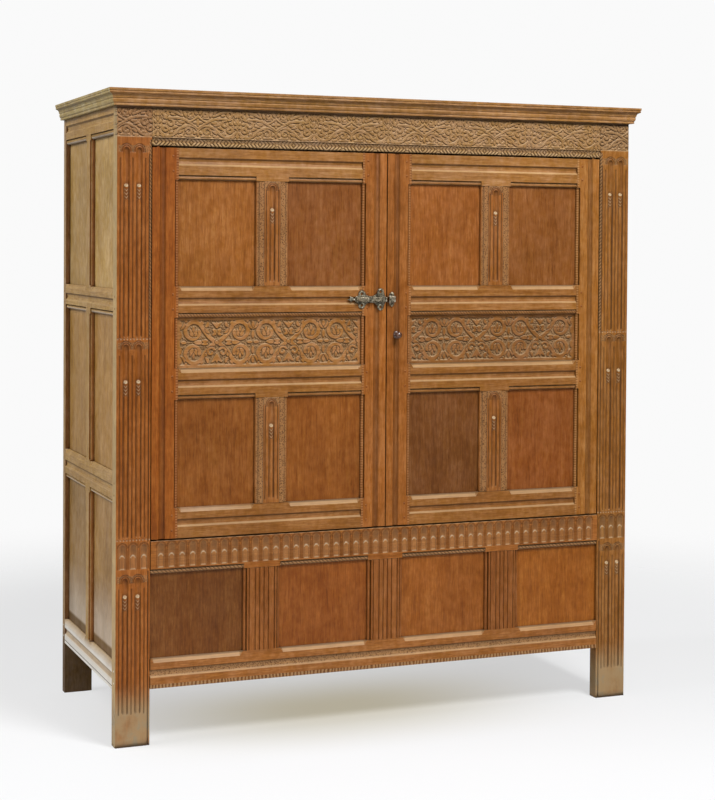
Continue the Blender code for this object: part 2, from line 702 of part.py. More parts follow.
def build_front_rails():
    x1 = -OPENING_HALF + FIT_GAP
    x2 = OPENING_HALF - FIT_GAP
    levels = dict(zip(("bottom", "arcade", "frieze"), front_rail_levels))
    tenons = {}
    for name, (low, high, recess) in levels.items():
        ends = ((-OPENING_HALF, -1), (OPENING_HALF, 1))
        tenons[name] = [tenon(x, way, low, high, recess, TENON_LENGTH, 0) for x, way in ends]
    muntins = muntin_spans(row_spans(base_openings))

    # The frieze rail: a round bead along its lower edge, pin holes and a stop for the doors.
    crest = FRIEZE_BEAD_DEPTH
    outline = [(FRIEZE_BEAD_DEPTH, FRIEZE_LOW)]
    outline += [(crest - depth, FRIEZE_LOW + along) for along, depth in frieze_bead_profile()]
    outline += [(0, FRIEZE_LOW + FRIEZE_BEAD), (0, FRAME_TOP)]
    outline += [(FRIEZE_RAIL_THICKNESS, FRAME_TOP), (FRIEZE_RAIL_THICKNESS, FRIEZE_LOW)]
    mesh = add(bar(outline, ALONG_X, x1, x2), tenons["frieze"])
    stop_half = OPENING_HALF - DOOR_STOP_MARGIN
    stop_front = DOOR_SETBACK + DOOR_THICKNESS + 2 * FIT_GAP
    stop = block((-stop_half, stop_front, FRIEZE_LOW - DOOR_STOP_DROP),
                 (stop_half, FRIEZE_RAIL_THICKNESS - BACK_SETBACK, FRIEZE_LOW + DOOR_STOP_DROP))
    mesh = placed(add(mesh, [stop]), FRONT_FACE)
    mesh = cut(mesh, [hinge_hole(way, FRIEZE_LOW, 1) for way in (-1, 1)])
    node("frieze_rail", mesh, oak_carved, carcass)

    # The arcade rail: a row of arched hollows, a bead over each base panel, pin holes on top.
    mesh = rail_bar(x1, x2, BASE_HIGH, ARCADE_TOP, RAIL_THICKNESS, None)
    mesh = add(mesh, tenons["arcade"])
    cuts = arcade(-OPENING_HALF, OPENING_HALF)
    for left, right, low, high in base_openings:
        cuts.append(panel_seat((left, right, low, high), PANEL_RECESS))
        cuts.append(head_bead(left, right, high))
    cuts += [stub_mortise(left, right, BASE_HIGH, 1, PANEL_RECESS) for left, right in muntins]
    mesh = placed(cut(mesh, cuts), FRONT_FACE)
    mesh = cut(mesh, [hinge_hole(way, ARCADE_TOP, -1) for way in (-1, 1)])
    node("arcade_rail", mesh, oak_carved, carcass)

    # The bottom rail with the three reeded muntins that stand on it.
    mesh = rail_bar(x1, x2, FOOT_HEIGHT, BASE_LOW, RAIL_THICKNESS, FOOT_HEIGHT + RAIL_CHANNEL_RISE)
    mesh = add(mesh, tenons["bottom"])
    uprights = []
    for left, right in muntins:
        shape = base_muntin_outline((left + right) / 2)
        tongue = stub_tenons(left, right, BASE_HIGH, BASE_HIGH, PANEL_RECESS)[1]
        upright = bar(shape, ALONG_Z, BASE_LOW - SILL_HEIGHT, BASE_HIGH - FIT_GAP)
        uprights.append(add(upright, [tongue]))
    mesh = add(mesh, uprights)
    cuts = []
    for left, right, low, high in base_openings:
        cuts.append(panel_seat((left, right, low, high), PANEL_RECESS))
        cuts.append(sill_chamfer(left, right, low))
    mesh = placed(cut(mesh, cuts), FRONT_FACE)
    mesh = cut(mesh, [floor_board(FIT_GAP)])
    node("base_frame", mesh, oak, carcass)

    for index, opening in enumerate(base_openings, 1):
        node(f"base_panel_{index}", placed(panel(opening, PANEL_RECESS), FRONT_FACE), oak_panel, carcass)


def frieze_bead_profile():
    # Height over the bead's lower edge and how far it stands out, ending in a quirk.
    span = FRIEZE_BEAD - FRIEZE_QUIRK
    points = []
    for step in range(1, ROUND_STEPS + 2):
        angle = math.pi * step / (ROUND_STEPS + 2)
        points.append((span * (1 - math.cos(angle)) / 2, FRIEZE_BEAD_DEPTH * math.sin(angle)))
    points.append((span, FRIEZE_BEAD_DEPTH * 0.2))
    return points


def base_muntin_outline(middle):
    # A muntin with a row of reeds between plain margins and a bead down each edge.
    half = BASE_MUNTIN_WIDTH / 2
    right = []
    for along in (BASE_REED / 2, BASE_REED * 1.5, half - JAMB_WIDTH * 1.6):
        right.append((along - GROOVE_WIDTH / 2, 0))
        right.append((along, GROOVE_DEPTH))
        right.append((along + GROOVE_WIDTH / 2, 0))
    right += edge_bead_points(half)
    return both_sides(middle, right, RAIL_THICKNESS)


def edge_bead_points(half):
    # The bead at a muntin's edge, from its quirk out to the edge and down to the panel.
    points = [(half - away, depth) for away, depth in reversed(bead_points(JAMB_WIDTH, JAMB_DEPTH))]
    return [(half - JAMB_WIDTH, 0)] + points


def both_sides(middle, right, thickness):
    # Mirrors the right half of a muntin's face about its middle and closes it round the back.
    half = right[-1][0]
    face = [(middle - along, depth) for along, depth in reversed(right)]
    face += [(middle + along, depth) for along, depth in right]
    return face + [(middle + half, thickness), (middle - half, thickness)]


def door_muntin_outline(middle):
    half = DOOR_MUNTIN_WIDTH / 2
    right = [(MUNTIN_QUIRK - GROOVE_WIDTH / 2, 0), (MUNTIN_QUIRK, MARGIN_DEPTH)]
    right.append((half - JAMB_WIDTH, MARGIN_DEPTH / 2))
    right += edge_bead_points(half)[1:]
    return both_sides(middle, right, DOOR_THICKNESS)


def hinge_axis(way):
    x = way * (OPENING_HALF - HINGE_GAP - PIN_INSET)
    return x, DOOR_FRONT + PIN_DEPTH


def hinge_hole(way, z, rise):
    x, y = hinge_axis(way)
    foot = (x, y, z - rise * CUT_OVERSHOOT)
    return pin(foot, (0, 0, rise), PIN_RADIUS + FIT_GAP, PIN_ENGAGEMENT + CUT_OVERSHOOT + FIT_GAP, PIN_SIDES)


def build_door(name, way):
    # way is -1 for the door hung on the left post and 1 for the one on the right.
    owner = body(f"{name}_door_body", carcass, (*hinge_axis(way), 0))
    hinge_edge = way * (OPENING_HALF - HINGE_GAP)
    meeting_edge = way * MEETING_GAP / 2
    x1, x2 = sorted((hinge_edge - way * STILE_WIDTH, meeting_edge + way * STILE_WIDTH))
    spans = split_row(x1, x2, 2, DOOR_MUNTIN_WIDTH)
    muntin = muntin_spans(spans)[0]
    rows = {
        "lower": [(left, right, LOWER_PANEL_LOW, LOWER_PANEL_HIGH) for left, right in spans],
        "carved": [(x1, x2, CARVED_LOW, CARVED_HIGH)],
        "upper": [(left, right, UPPER_PANEL_LOW, UPPER_PANEL_HIGH) for left, right in spans],
    }
    rails = {
        "bottom": (DOOR_LOW, LOWER_PANEL_LOW, None, "lower"),
        "lower": (LOWER_PANEL_HIGH, CARVED_LOW, "lower", "carved"),
        "upper": (CARVED_HIGH, UPPER_PANEL_LOW, "carved", "upper"),
        "top": (UPPER_PANEL_HIGH, DOOR_HIGH, "upper", None),
    }

    def part(label, mesh, material):
        return node(f"{name}_door_{label}", placed(mesh, DOOR_FACE), material, owner)

    # Stiles: mortised for the rails, grooved for the panels; the hinge stile ends in two round pins.
    for label, edge, inner in (("hinge_stile", hinge_edge, -way), ("meeting_stile", meeting_edge, way)):
        mesh = stile_bar(edge, inner, DOOR_LOW, DOOR_HIGH)
        jamb = edge + inner * STILE_WIDTH
        cuts = [tenon(jamb, -inner, low, high, PANEL_RECESS, TENON_LENGTH, FIT_GAP)
                for low, high, below, above in rails.values()]
        for row in rows.values():
            nearest = row[0] if inner > 0 else row[-1]
            cuts.append(panel_seat(nearest, PANEL_RECESS))
            cuts.append(jamb_bead(jamb, -inner, nearest[2], nearest[3]))
        mesh = cut(mesh, cuts)
        if label == "hinge_stile":
            mesh = add(mesh, hinge_pins(way))
        elif way > 0:
            foot = (KNOB_X, KNOB_SHANK_LENGTH + FIT_GAP, KNOB_Z)
            reach = KNOB_SHANK_LENGTH + FIT_GAP + CUT_OVERSHOOT
            mesh = cut(mesh, [pin(foot, (0, -1, 0), KNOB_SHANK + FIT_GAP, reach, PIN_SIDES)])
        part(label, mesh, oak)

    # Rails: tenoned at both ends, beaded over the panels below and chamfered under those above.
    for label, (low, high, below, above) in rails.items():
        channel = high - (RAIL_CHANNEL_RISE if above else TOP_CHANNEL_DROP)
        mesh = rail_bar(x1 + FIT_GAP, x2 - FIT_GAP, low, high, DOOR_THICKNESS, channel)
        ends = [tenon(x, turn, low, high, PANEL_RECESS, TENON_LENGTH, 0) for x, turn in ((x1, -1), (x2, 1))]
        mesh = add(mesh, ends)
        cuts = []
        for left, right, z1, z2 in rows.get(below, []):
            cuts.append(panel_seat((left, right, z1, z2), PANEL_RECESS))
            cuts.append(head_bead(left, right, z2))
        for left, right, z1, z2 in rows.get(above, []):
            cuts.append(panel_seat((left, right, z1, z2), PANEL_RECESS))
            cuts.append(sill_chamfer(left, right, z1))
        if below in ("lower", "upper"):
            cuts.append(stub_mortise(*muntin, low, 1, PANEL_RECESS))
        if above in ("lower", "upper"):
            cuts.append(stub_mortise(*muntin, high, -1, PANEL_RECESS))
        part(f"{label}_rail", cut(mesh, cuts), oak)

    # Muntins: one stopped flute between two grooves, with a stippled margin down each side.
    for level in ("lower", "upper"):
        low, high = rows[level][0][2:]
        middle = (muntin[0] + muntin[1]) / 2
        mesh = bar(door_muntin_outline(middle), ALONG_Z, low + FIT_GAP, high - FIT_GAP)
        mesh = add(mesh, stub_tenons(*muntin, low, high, PANEL_RECESS))
        foot = low + FLUTE_HEAD_DROP
        head = high - FLUTE_HEAD_DROP
        cuts = [panel_seat(opening, PANEL_RECESS) for opening in rows[level]]
        cuts.append(flute(middle, FLUTE_WIDTH, FLUTE_DEPTH, foot, head, FLUTE_SIDES))
        cuts += [groove(middle + side * MUNTIN_GROOVE, foot, head - FLUTE_HEAD_DROP) for side in (-1, 1)]
        mesh = add(cut(mesh, cuts), [reed(middle, foot - FLUTE_HEAD_DROP / 2, high - MUNTIN_STOP)])
        part(f"{level}_muntin", mesh, oak_carved)

    # Panels
    for level in ("lower", "upper"):
        for index, opening in enumerate(rows[level], 1):
            part(f"{level}_panel_{index}", panel(opening, PANEL_RECESS), oak_panel)
    part("carved_panel", panel(rows["carved"][0], PANEL_RECESS), oak_carved)
    return owner


def hinge_pins(way):
    x = way * (OPENING_HALF - HINGE_GAP - PIN_INSET)
    length = DOOR_GAP + PIN_ENGAGEMENT + PIN_RADIUS
    pins = []
    for z, rise in ((DOOR_HIGH - PIN_RADIUS, 1), (DOOR_LOW + PIN_RADIUS, -1)):
        pins.append(pin((x, PIN_DEPTH, z), (0, 0, rise), PIN_RADIUS, length, PIN_SIDES))
    return pins


def cornice_outline():
    # From the top edge down: fillet, bead, cove, band and foot, with a sunk line below each but the cove.
    members = (CORNICE_FILLET, CORNICE_UPPER_LINE, CORNICE_BEAD, CORNICE_COVE, CORNICE_MIDDLE_LINE,
               CORNICE_BAND, CORNICE_LOWER_LINE, CORNICE_FOOT)
    corners = [(out, TOP - drop) for member in members for out, drop in member]
    return [(FIT_GAP, TOP)] + corners + [(FIT_GAP, TOP - CORNICE_HEIGHT)]


def build_cornice():
    # The moulding is swept back to front, mitred at both front corners, and back along the right side.
    shell = bmesh.new()
    corners = [shell.verts.new((-HALF_WIDTH - out, BACK, z)) for out, z in cornice_outline()]
    face = shell.faces.new(corners)

    def to_left_mitre(co):
        co.y = FRONT + HALF_WIDTH + co.x

    def to_right_mitre(co):
        co.x = HALF_WIDTH + FRONT - co.y

    def to_back(co):
        co.y = BACK

    for move in (to_left_mitre, to_right_mitre, to_back):
        grown = bmesh.ops.extrude_face_region(shell, geom=[face])["geom"]
        for item in grown:
            if isinstance(item, bmesh.types.BMVert):
                move(item.co)
        if move is not to_left_mitre:
            bmesh.ops.delete(shell, geom=[face], context="FACES_ONLY")
        face = next(item for item in grown if isinstance(item, bmesh.types.BMFace))
    node("cornice", finished(shell), oak, carcass)


def notched_edge(start, end, count, level, depth):
    # A straight edge with a small V where each board meets the next.
    points = [(start, level)]
    for index in range(1, count):
        joint = start + (end - start) * index / count
        half = math.copysign(BOARD_JOINT_WIDTH / 2, end - start)
        points += [(joint - half, level), (joint, level + depth), (joint + half, level)]
    points.append((end, level))
    return points


def build_boards():
    low = FRAME_TOP + FIT_GAP
    outline = notched_edge(FRONT, BACK, TOP_BOARD_COUNT, TOP, -BOARD_JOINT_DEPTH)
    outline += [(BACK, low), (FRONT, low)]
    node("top_boards", bar(outline, ALONG_X, -HALF_WIDTH, HALF_WIDTH), oak, carcass)

    half = HALF_WIDTH - REAR_POST_WIDTH + BACK_LAP
    inner = BACK - BACK_BOARD_THICKNESS
    outline = notched_edge(-half, half, BACK_BOARD_COUNT, BACK, -BOARD_JOINT_DEPTH)
    outline += [(half, inner), (-half, inner)]
    mesh = bar(outline, ALONG_Z, FOOT_HEIGHT, FRAME_TOP)
    batten_half = HALF_WIDTH - REAR_POST_WIDTH - FIT_GAP
    battens = []
    for low in (FOOT_HEIGHT, FRAME_TOP - BATTEN_HEIGHT):
        battens.append(block((-batten_half, inner - BATTEN_THICKNESS, low),
                             (batten_half, inner + BACK_BOARD_THICKNESS / 2, low + BATTEN_HEIGHT)))
    mesh = cut(add(mesh, battens), [floor_board(FIT_GAP)])
    node("back_boards", mesh, oak, carcass)
    node("floor_boards", floor_board(0), oak, carcass)


def strap_outline(reach_tall, reach_deep, wall):
    # A strap that bridges a bar lying on the face: depth ahead of the face is negative.
    outer = reach_tall + wall
    crown = -reach_deep - wall
    bevel = wall * 0.7
    outline = [(0, -outer), (crown + bevel, -outer), (crown, -outer + bevel), (crown, outer - bevel)]
    outline += [(crown + bevel, outer), (0, outer), (0, reach_tall), (-reach_deep, reach_tall)]
    outline += [(-reach_deep, -reach_tall), (0, -reach_tall)]
    return outline


def lobe(shape, start, end):
    along, tall, radius = shape
    return arc((along, tall), radius, start, end, 2 * ROUND_STEPS)


def plate_outline():
    # The iron plate's silhouette: a pointed finial, a pair of lobes, a waist and a second pair.
    upper = list(PLATE_FINIAL)
    upper += lobe(PLATE_REAR_LOBE, 205, 20)
    upper += PLATE_WAIST
    upper += lobe(PLATE_FRONT_LOBE, 200, -10)
    upper += PLATE_END
    lower = [(along, -tall) for along, tall in reversed(upper[1:])]
    return [(along - PLATE_LENGTH, tall) for along, tall in upper + lower]


def build_ironwork(left_door, right_door):
    # The bolt slides on a plate on the left door and shoots into a keeper on the right one.
    edge = -MEETING_GAP / 2 - PLATE_EDGE_INSET
    shape = [(edge + along, BOLT_MIDDLE + tall) for along, tall in plate_outline()]
    upright = Matrix(((1, 0, 0, 0), (0, 0, -1, 0), (0, 1, 0, 0), (0, 0, 0, 1)))
    plate = bar(shape, upright, FIT_GAP, FIT_GAP + PLATE_THICKNESS)
    bolt_back = FIT_GAP + PLATE_THICKNESS + BOLT_GAP
    tall = BOLT_TALL / 2 + BOLT_GAP
    deep = bolt_back + BOLT_DEEP + BOLT_GAP
    lift = Matrix.Translation((0, 0, BOLT_MIDDLE))
    straps = []
    for start in (edge - REAR_STRAP_BACK, edge - STRAP_WIDTH - STRAP_WALL):
        outline = [(depth - FIT_GAP - PLATE_THICKNESS / 2 if depth == 0 else depth, z)
                   for depth, z in strap_outline(tall, deep, STRAP_WALL)]
        straps.append(placed(bar(outline, ALONG_X, start, start + STRAP_WIDTH), lift))
    node("bolt_plate", placed(add(plate, straps), DOOR_FACE), iron, left_door)

    tip = -MEETING_GAP / 2 - BOLT_SETBACK
    middle = (tip - BOLT_LENGTH / 2, DOOR_FRONT - bolt_back - BOLT_DEEP / 2, BOLT_MIDDLE)
    owner = body("bolt_body", left_door, middle)
    rod = block((tip - BOLT_LENGTH, -bolt_back - BOLT_DEEP, BOLT_MIDDLE - BOLT_TALL / 2),
                (tip, -bolt_back, BOLT_MIDDLE + BOLT_TALL / 2))
    grip = BOLT_GRIP_RADIUS
    profile = [(-grip, 0), (-grip, grip * 0.6), (grip * 0.2, grip * 0.6), (grip * 0.7, grip)]
    profile += [(grip * 1.5, grip), (grip * 2.1, grip * 0.6), (grip * 2.3, 0)]
    foot = (tip - BOLT_GRIP_BACK, -bolt_back - BOLT_DEEP, BOLT_MIDDLE)
    rod = add(rod, [lathe(profile, foot, PIN_SIDES)])
    node("bolt", placed(rod, DOOR_FACE), iron, owner)

    outline = [(depth - FIT_GAP if depth == 0 else depth, z)
               for depth, z in strap_outline(tall, deep, STRAP_WALL * 1.4)]
    keeper = placed(bar(outline, ALONG_X, KEEPER_START, KEEPER_START + KEEPER_LENGTH), lift)
    start = KEEPER_START + KEEPER_LENGTH - KEEPER_FOOT_LENGTH
    feet = []
    for sign in (-1, 1):
        inner, outer = sorted((sign * (tall + STRAP_WALL / 2), sign * KEEPER_FOOT_TALL / 2))
        feet.append(block((start, -FIT_GAP - PLATE_THICKNESS, BOLT_MIDDLE + inner),
                          (start + KEEPER_FOOT_LENGTH, -FIT_GAP, BOLT_MIDDLE + outer)))
    node("bolt_keeper", placed(add(keeper, feet), DOOR_FACE), iron, right_door)

    profile = [(-KNOB_SHANK_LENGTH, 0), (-KNOB_SHANK_LENGTH, KNOB_SHANK), (FIT_GAP, KNOB_SHANK)]
    profile += [(FIT_GAP, KNOB_ROSE), (KNOB_ROSE_THICKNESS, KNOB_ROSE)]
    profile += [(KNOB_ROSE_THICKNESS * 1.8, KNOB_ROSE * 0.55), (KNOB_ROSE_THICKNESS * 3, KNOB_ROSE * 0.45)]
    half_ball = KNOB_RADIUS * 0.8
    for turn in (-50, -25, 0, 25, 50, 75):
        angle = math.radians(turn)
        profile.append((KNOB_LENGTH - half_ball + half_ball * math.sin(angle), KNOB_RADIUS * math.cos(angle)))
    profile.append((KNOB_LENGTH, 0))
    knob = placed(lathe(profile, (KNOB_X, 0, KNOB_Z), KNOB_SIDES), DOOR_FACE)
    node("pull_knob", knob, knob_wood, right_door)


for old in list(bpy.data.objects):
    bpy.data.objects.remove(old)

assembly = new_collection("clothes_press")
places = {}
oak = new_material("oak", (0.36, 0.19, 0.075), 0.45, 0)
oak_panel = new_material("oak_panel", (0.28, 0.125, 0.045), 0.45, 0)
oak_carved = new_material("oak_carved", (0.40, 0.23, 0.10), 0.5, 0)
oak_side = new_material("oak_side", (0.42, 0.31, 0.17), 0.5, 0)
iron = new_material("iron", (0.22, 0.21, 0.19), 0.5, 0.9)
knob_wood = new_material("knob_wood", (0.20, 0.09, 0.06), 0.4, 0)

base_row = split_row(-OPENING_HALF, OPENING_HALF, BASE_PANEL_COUNT, BASE_MUNTIN_WIDTH)
base_openings = [(left, right, BASE_LOW, BASE_HIGH) for left, right in base_row]
front_rail_levels = (
    (FOOT_HEIGHT, BASE_LOW, PANEL_RECESS),
    (BASE_HIGH, ARCADE_TOP, PANEL_RECESS),
    (FRIEZE_LOW, FRAME_TOP, PANEL_RECESS),
)
side_lower_low = FOOT_HEIGHT + SIDE_BOTTOM_RAIL
side_upper_high = FRAME_TOP - SIDE_TOP_RAIL
side_panel_heights = side_upper_high - side_lower_low - SIDE_LOWER_RAIL - SIDE_UPPER_RAIL
side_lower_high = side_lower_low + side_panel_heights * SIDE_LOWER_SHARE
side_middle_low = side_lower_high + SIDE_LOWER_RAIL
side_middle_high = side_middle_low + side_panel_heights * SIDE_MIDDLE_SHARE
side_upper_low = side_middle_high + SIDE_UPPER_RAIL
side_rows = (
    (side_lower_low, side_lower_high),
    (side_middle_low, side_middle_high),
    (side_upper_low, side_upper_high),
)
side_rail_levels = (
    (FOOT_HEIGHT, side_lower_low),
    (side_lower_high, side_middle_low),
    (side_middle_high, side_upper_low),
    (side_upper_high, FRAME_TOP),
)

carcass = body("carcass_body", None, (0, 0, 0))
build_front_post("front_post_left", 1)
build_front_post("front_post_right", -1)
build_rear_post("rear_post_left", 1)
build_rear_post("rear_post_right", -1)
build_front_rails()
build_side("left", -1)
build_side("right", 1)
build_cornice()
build_boards()
left_hung = build_door("left", -1)
right_hung = build_door("right", 1)
build_ironwork(left_hung, right_hung)
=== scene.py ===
import math
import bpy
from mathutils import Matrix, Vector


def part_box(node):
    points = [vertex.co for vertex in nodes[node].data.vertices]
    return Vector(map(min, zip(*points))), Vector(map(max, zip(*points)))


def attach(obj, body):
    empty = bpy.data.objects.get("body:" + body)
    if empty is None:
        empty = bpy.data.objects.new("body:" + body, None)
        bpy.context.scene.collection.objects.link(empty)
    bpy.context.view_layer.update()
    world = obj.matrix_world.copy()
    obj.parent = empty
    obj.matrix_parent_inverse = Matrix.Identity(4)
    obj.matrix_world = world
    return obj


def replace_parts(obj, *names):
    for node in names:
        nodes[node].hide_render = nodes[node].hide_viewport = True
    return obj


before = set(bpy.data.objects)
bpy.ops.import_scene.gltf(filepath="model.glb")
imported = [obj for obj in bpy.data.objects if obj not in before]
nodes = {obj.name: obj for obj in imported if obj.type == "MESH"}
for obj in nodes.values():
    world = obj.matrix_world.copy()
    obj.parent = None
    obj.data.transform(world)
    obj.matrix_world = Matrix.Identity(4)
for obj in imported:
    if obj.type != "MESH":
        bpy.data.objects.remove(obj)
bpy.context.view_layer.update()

from types import SimpleNamespace

import bmesh
import bpy
import numpy as np
from mathutils import Matrix, Vector

sides = (("left", -1), ("right", 1))      # the press's two halves, and which way each lies from the middle
outward = (0, -1, 0)                      # out of the front


def addObject(name, data):
    item = bpy.data.objects.new(name, data)
    bpy.context.collection.objects.link(item)
    return item


cameraSetup = {
    "place": (-1.9881, -5.0038, 1.4044),
    "turn": -22.0179,      # degrees about the upright, negative looks to the right
    "tilt": -1.1847,
    "roll": 0.364,
    "focal": 77.987,       # mm on the sensor's long side
    "sensor": 36,
    "shift": -0.15,
}


def makeCamera(setup):
    turn, tilt, roll = (math.radians(setup[key]) for key in ("turn", "tilt", "roll"))
    ahead = Vector((-math.sin(turn) * math.cos(tilt), math.cos(turn) * math.cos(tilt), math.sin(tilt)))
    level = ahead.cross(Vector((0, 0, 1))).normalized()
    plumb = level.cross(ahead)
    right = level * math.cos(roll) + plumb * math.sin(roll)
    up = plumb * math.cos(roll) - level * math.sin(roll)
    data = bpy.data.cameras.new("camera")
    data.lens = setup["focal"]
    data.sensor_width = setup["sensor"]
    data.shift_y = setup["shift"]
    camera = addObject("camera", data)
    turned = Matrix((right, up, -ahead)).transposed().to_4x4()
    camera.matrix_world = Matrix.Translation(setup["place"]) @ turned
    bpy.context.scene.camera = camera


makeCamera(cameraSetup)
bpy.context.scene.view_settings.view_transform = "Standard"
print("camera set")


class Sock:
    # an output of a node; sums and products of these become Math nodes
    def __init__(self, shader, socket):
        self.shader = shader
        self.socket = socket

    def __add__(self, other):
        return self.shader.calc("ADD", self, other)

    def __radd__(self, other):
        return self.shader.calc("ADD", other, self)

    def __sub__(self, other):
        return self.shader.calc("SUBTRACT", self, other)

    def __rsub__(self, other):
        return self.shader.calc("SUBTRACT", other, self)

    def __mul__(self, other):
        return self.shader.calc("MULTIPLY", self, other)

    def __rmul__(self, other):
        return self.shader.calc("MULTIPLY", other, self)

    def __truediv__(self, other):
        return self.shader.calc("DIVIDE", self, other)


class Shader:
    def __init__(self, tree):
        self.tree = tree
        tree.nodes.clear()

    def add(self, kind, settings=None, sockets=None, out=0):
        # any node: its settings come first, then the values or links of its sockets
        node = self.tree.nodes.new(kind)
        for key, value in (settings or {}).items():
            if key == "stops":
                ramp = node.color_ramp
                while len(ramp.elements) < len(value):
                    ramp.elements.new(0.5)
                for element, (place, colour) in zip(ramp.elements, value):
                    element.position = place
                    element.color = (*colour, 1)
            else:
                setattr(node, key, value)
        for key, value in (sockets or {}).items():
            if isinstance(value, Sock):
                self.tree.links.new(value.socket, node.inputs[key])
            else:
                node.inputs[key].default_value = value
        return Sock(self, node.outputs[out]) if node.outputs else node

    def calc(self, operation, *values):
        return self.add("ShaderNodeMath", {"operation": operation}, dict(enumerate(values)))

    def most(self, first, second):
        return self.calc("MAXIMUM", first, second)

    def apart(self, value, place):
        return self.calc("ABSOLUTE", value - place)

    def ease(self, value, low, high):
        # 0 at low and 1 at high, with soft ends
        sockets = {"Value": value, "From Min": low, "From Max": high, "To Min": 0.0, "To Max": 1.0}
        return self.add("ShaderNodeMapRange", {"interpolation_type": "SMOOTHSTEP"}, sockets)

    def strip(self, value, place, offsets):
        # offsets from a place: 0 and 1 on the way in, 0 and 1 on the way back from the far side
        start, full, end, fullEnd = (place + offset for offset in offsets)
        return self.ease(value, start, full) * self.ease(value, end, fullEnd)

    def band(self, value, low, high, soft):
        return self.ease(value, low - soft, low + soft) * self.ease(value, high + soft, high - soft)

    def mix(self, factor, first, second, how="MIX"):
        first, second = ((*c, 1) if isinstance(c, tuple) else c for c in (first, second))
        settings = {"data_type": "RGBA", "blend_type": how, "clamp_factor": True}
        return self.add("ShaderNodeMix", settings, {0: factor, 6: first, 7: second}, 2)

    def tinted(self, colour, tint):
        return self.mix(1.0, colour, tint, "MULTIPLY")

    def tintedWhere(self, mask, colour, tint):
        return self.mix(mask, colour, self.tinted(colour, tint))

    def ramp(self, value, look, middle=0.5):
        stops = [(0.0, look["dark"]), (middle, look["middle"]), (1.0, look["light"])]
        return self.add("ShaderNodeValToRGB", {"stops": stops}, {0: value})

    def join(self, x, y, z):
        return self.add("ShaderNodeCombineXYZ", None, {0: x, 1: y, 2: z})

    def part(self, vector, index):
        return self.add("ShaderNodeSeparateXYZ", None, {0: vector}, index)

    def parts(self, vector):
        return [self.part(vector, index) for index in range(3)]

    def noise(self, vector, detail, rough):
        sockets = {"Vector": vector, "Scale": 1.0, "Detail": detail, "Roughness": rough}
        return self.add("ShaderNodeTexNoise", None, sockets)

    def attribute(self, name):
        return self.add("ShaderNodeAttribute", {"attribute_name": name}, None, "Fac")

    def ray(self, kind):
        return self.add("ShaderNodeLightPath", None, None, kind)

    def shelter(self, reach):
        # 1 deep in a corner, 0 on an open face
        return 1 - self.add("ShaderNodeAmbientOcclusion", {"samples": 6}, {"Distance": reach}, "AO")

    def bump(self, strength, distance, height):
        return self.add("ShaderNodeBump", None, {"Strength": strength, "Distance": distance, "Height": height})

    def glossy(self, sockets):
        self.close(self.add("ShaderNodeBsdfPrincipled", None, sockets))

    def close(self, surface):
        self.add("ShaderNodeOutputMaterial", None, {"Surface": surface})


def startFinish(name):
    material = bpy.data.materials.new(name)
    material.use_nodes = True
    s = Shader(material.node_tree)
    return material, s, s.add("ShaderNodeTexCoord", None, None, "Object")


def vary(pattern, amounts):
    least, more = amounts
    return least + pattern * more


stageSetup = {
    "white": 0.955,            # background as the camera sees it
    "mirrorWhite": 0.55,       # backdrop as gloss sees it
    "ambient": 0.24,           # soft light from all round
    "roomGlow": 0.06,          # what gloss sees on the camera's side
    "paperLean": 0.8,          # the white paper stands behind and to the left
    "paperEdge": (-0.45, 0.35),
    "floor": (0.735, 0.745, 0.765),
    "floorSides": 96,
    "floorSpare": 0.2,         # floor beyond the end of its fade
    "floorLift": 0.62,         # share of the floor's own white, which keeps the shadow pale
    "warm": (0.68, 0.62, 0.47),        # painted warm bounce light: the floor's own glow under the press, tinged by the wood
    "warmMiddle": (-0.08, -0.16),
    "warmArea": ((0.84, 0.46), (0.05, 0.04)),    # half width and half depth where the tinge ends and is full
    "fadeStart": 1.5,
    "fadeEnd": 3.6,
    "lamps": {
        "keyLamp": {"place": (1.0, -3.7, 5.0), "aim": (0.0, -0.3, 0.9), "size": 2.0, "power": 325},
        "sideLamp": {"place": (-4.0, 0.2, 4.3), "aim": (-0.8, 0.0, 1.2), "size": 2.2, "power": 150},
        "fillLamp": {"place": (-2.6, -5.0, 2.0), "aim": (0.0, -0.2, 0.9), "size": 2.4, "power": 45},
    },
}


def makeSky(setup):
    world = bpy.data.worlds.new("studio")
    bpy.context.scene.world = world
    world.use_nodes = True
    s = Shader(world.node_tree)
    way = s.add("ShaderNodeTexCoord", None, None, "Generated")
    backdrop = s.ease(s.part(way, 1) - s.part(way, 0) * setup["paperLean"], *setup["paperEdge"])
    reflected = backdrop * (setup["mirrorWhite"] - setup["roomGlow"]) + setup["roomGlow"]
    gloss = s.ray("Is Glossy Ray")
    level = gloss * reflected + (1 - gloss) * setup["ambient"]
    straight = s.most(s.ray("Is Camera Ray"), s.ray("Is Transmission Ray"))
    strength = straight * setup["white"] + (1 - straight) * level
    light = s.add("ShaderNodeBackground", None, {"Color": (1, 1, 1, 1), "Strength": strength})
    s.add("ShaderNodeOutputWorld", None, {"Surface": light})


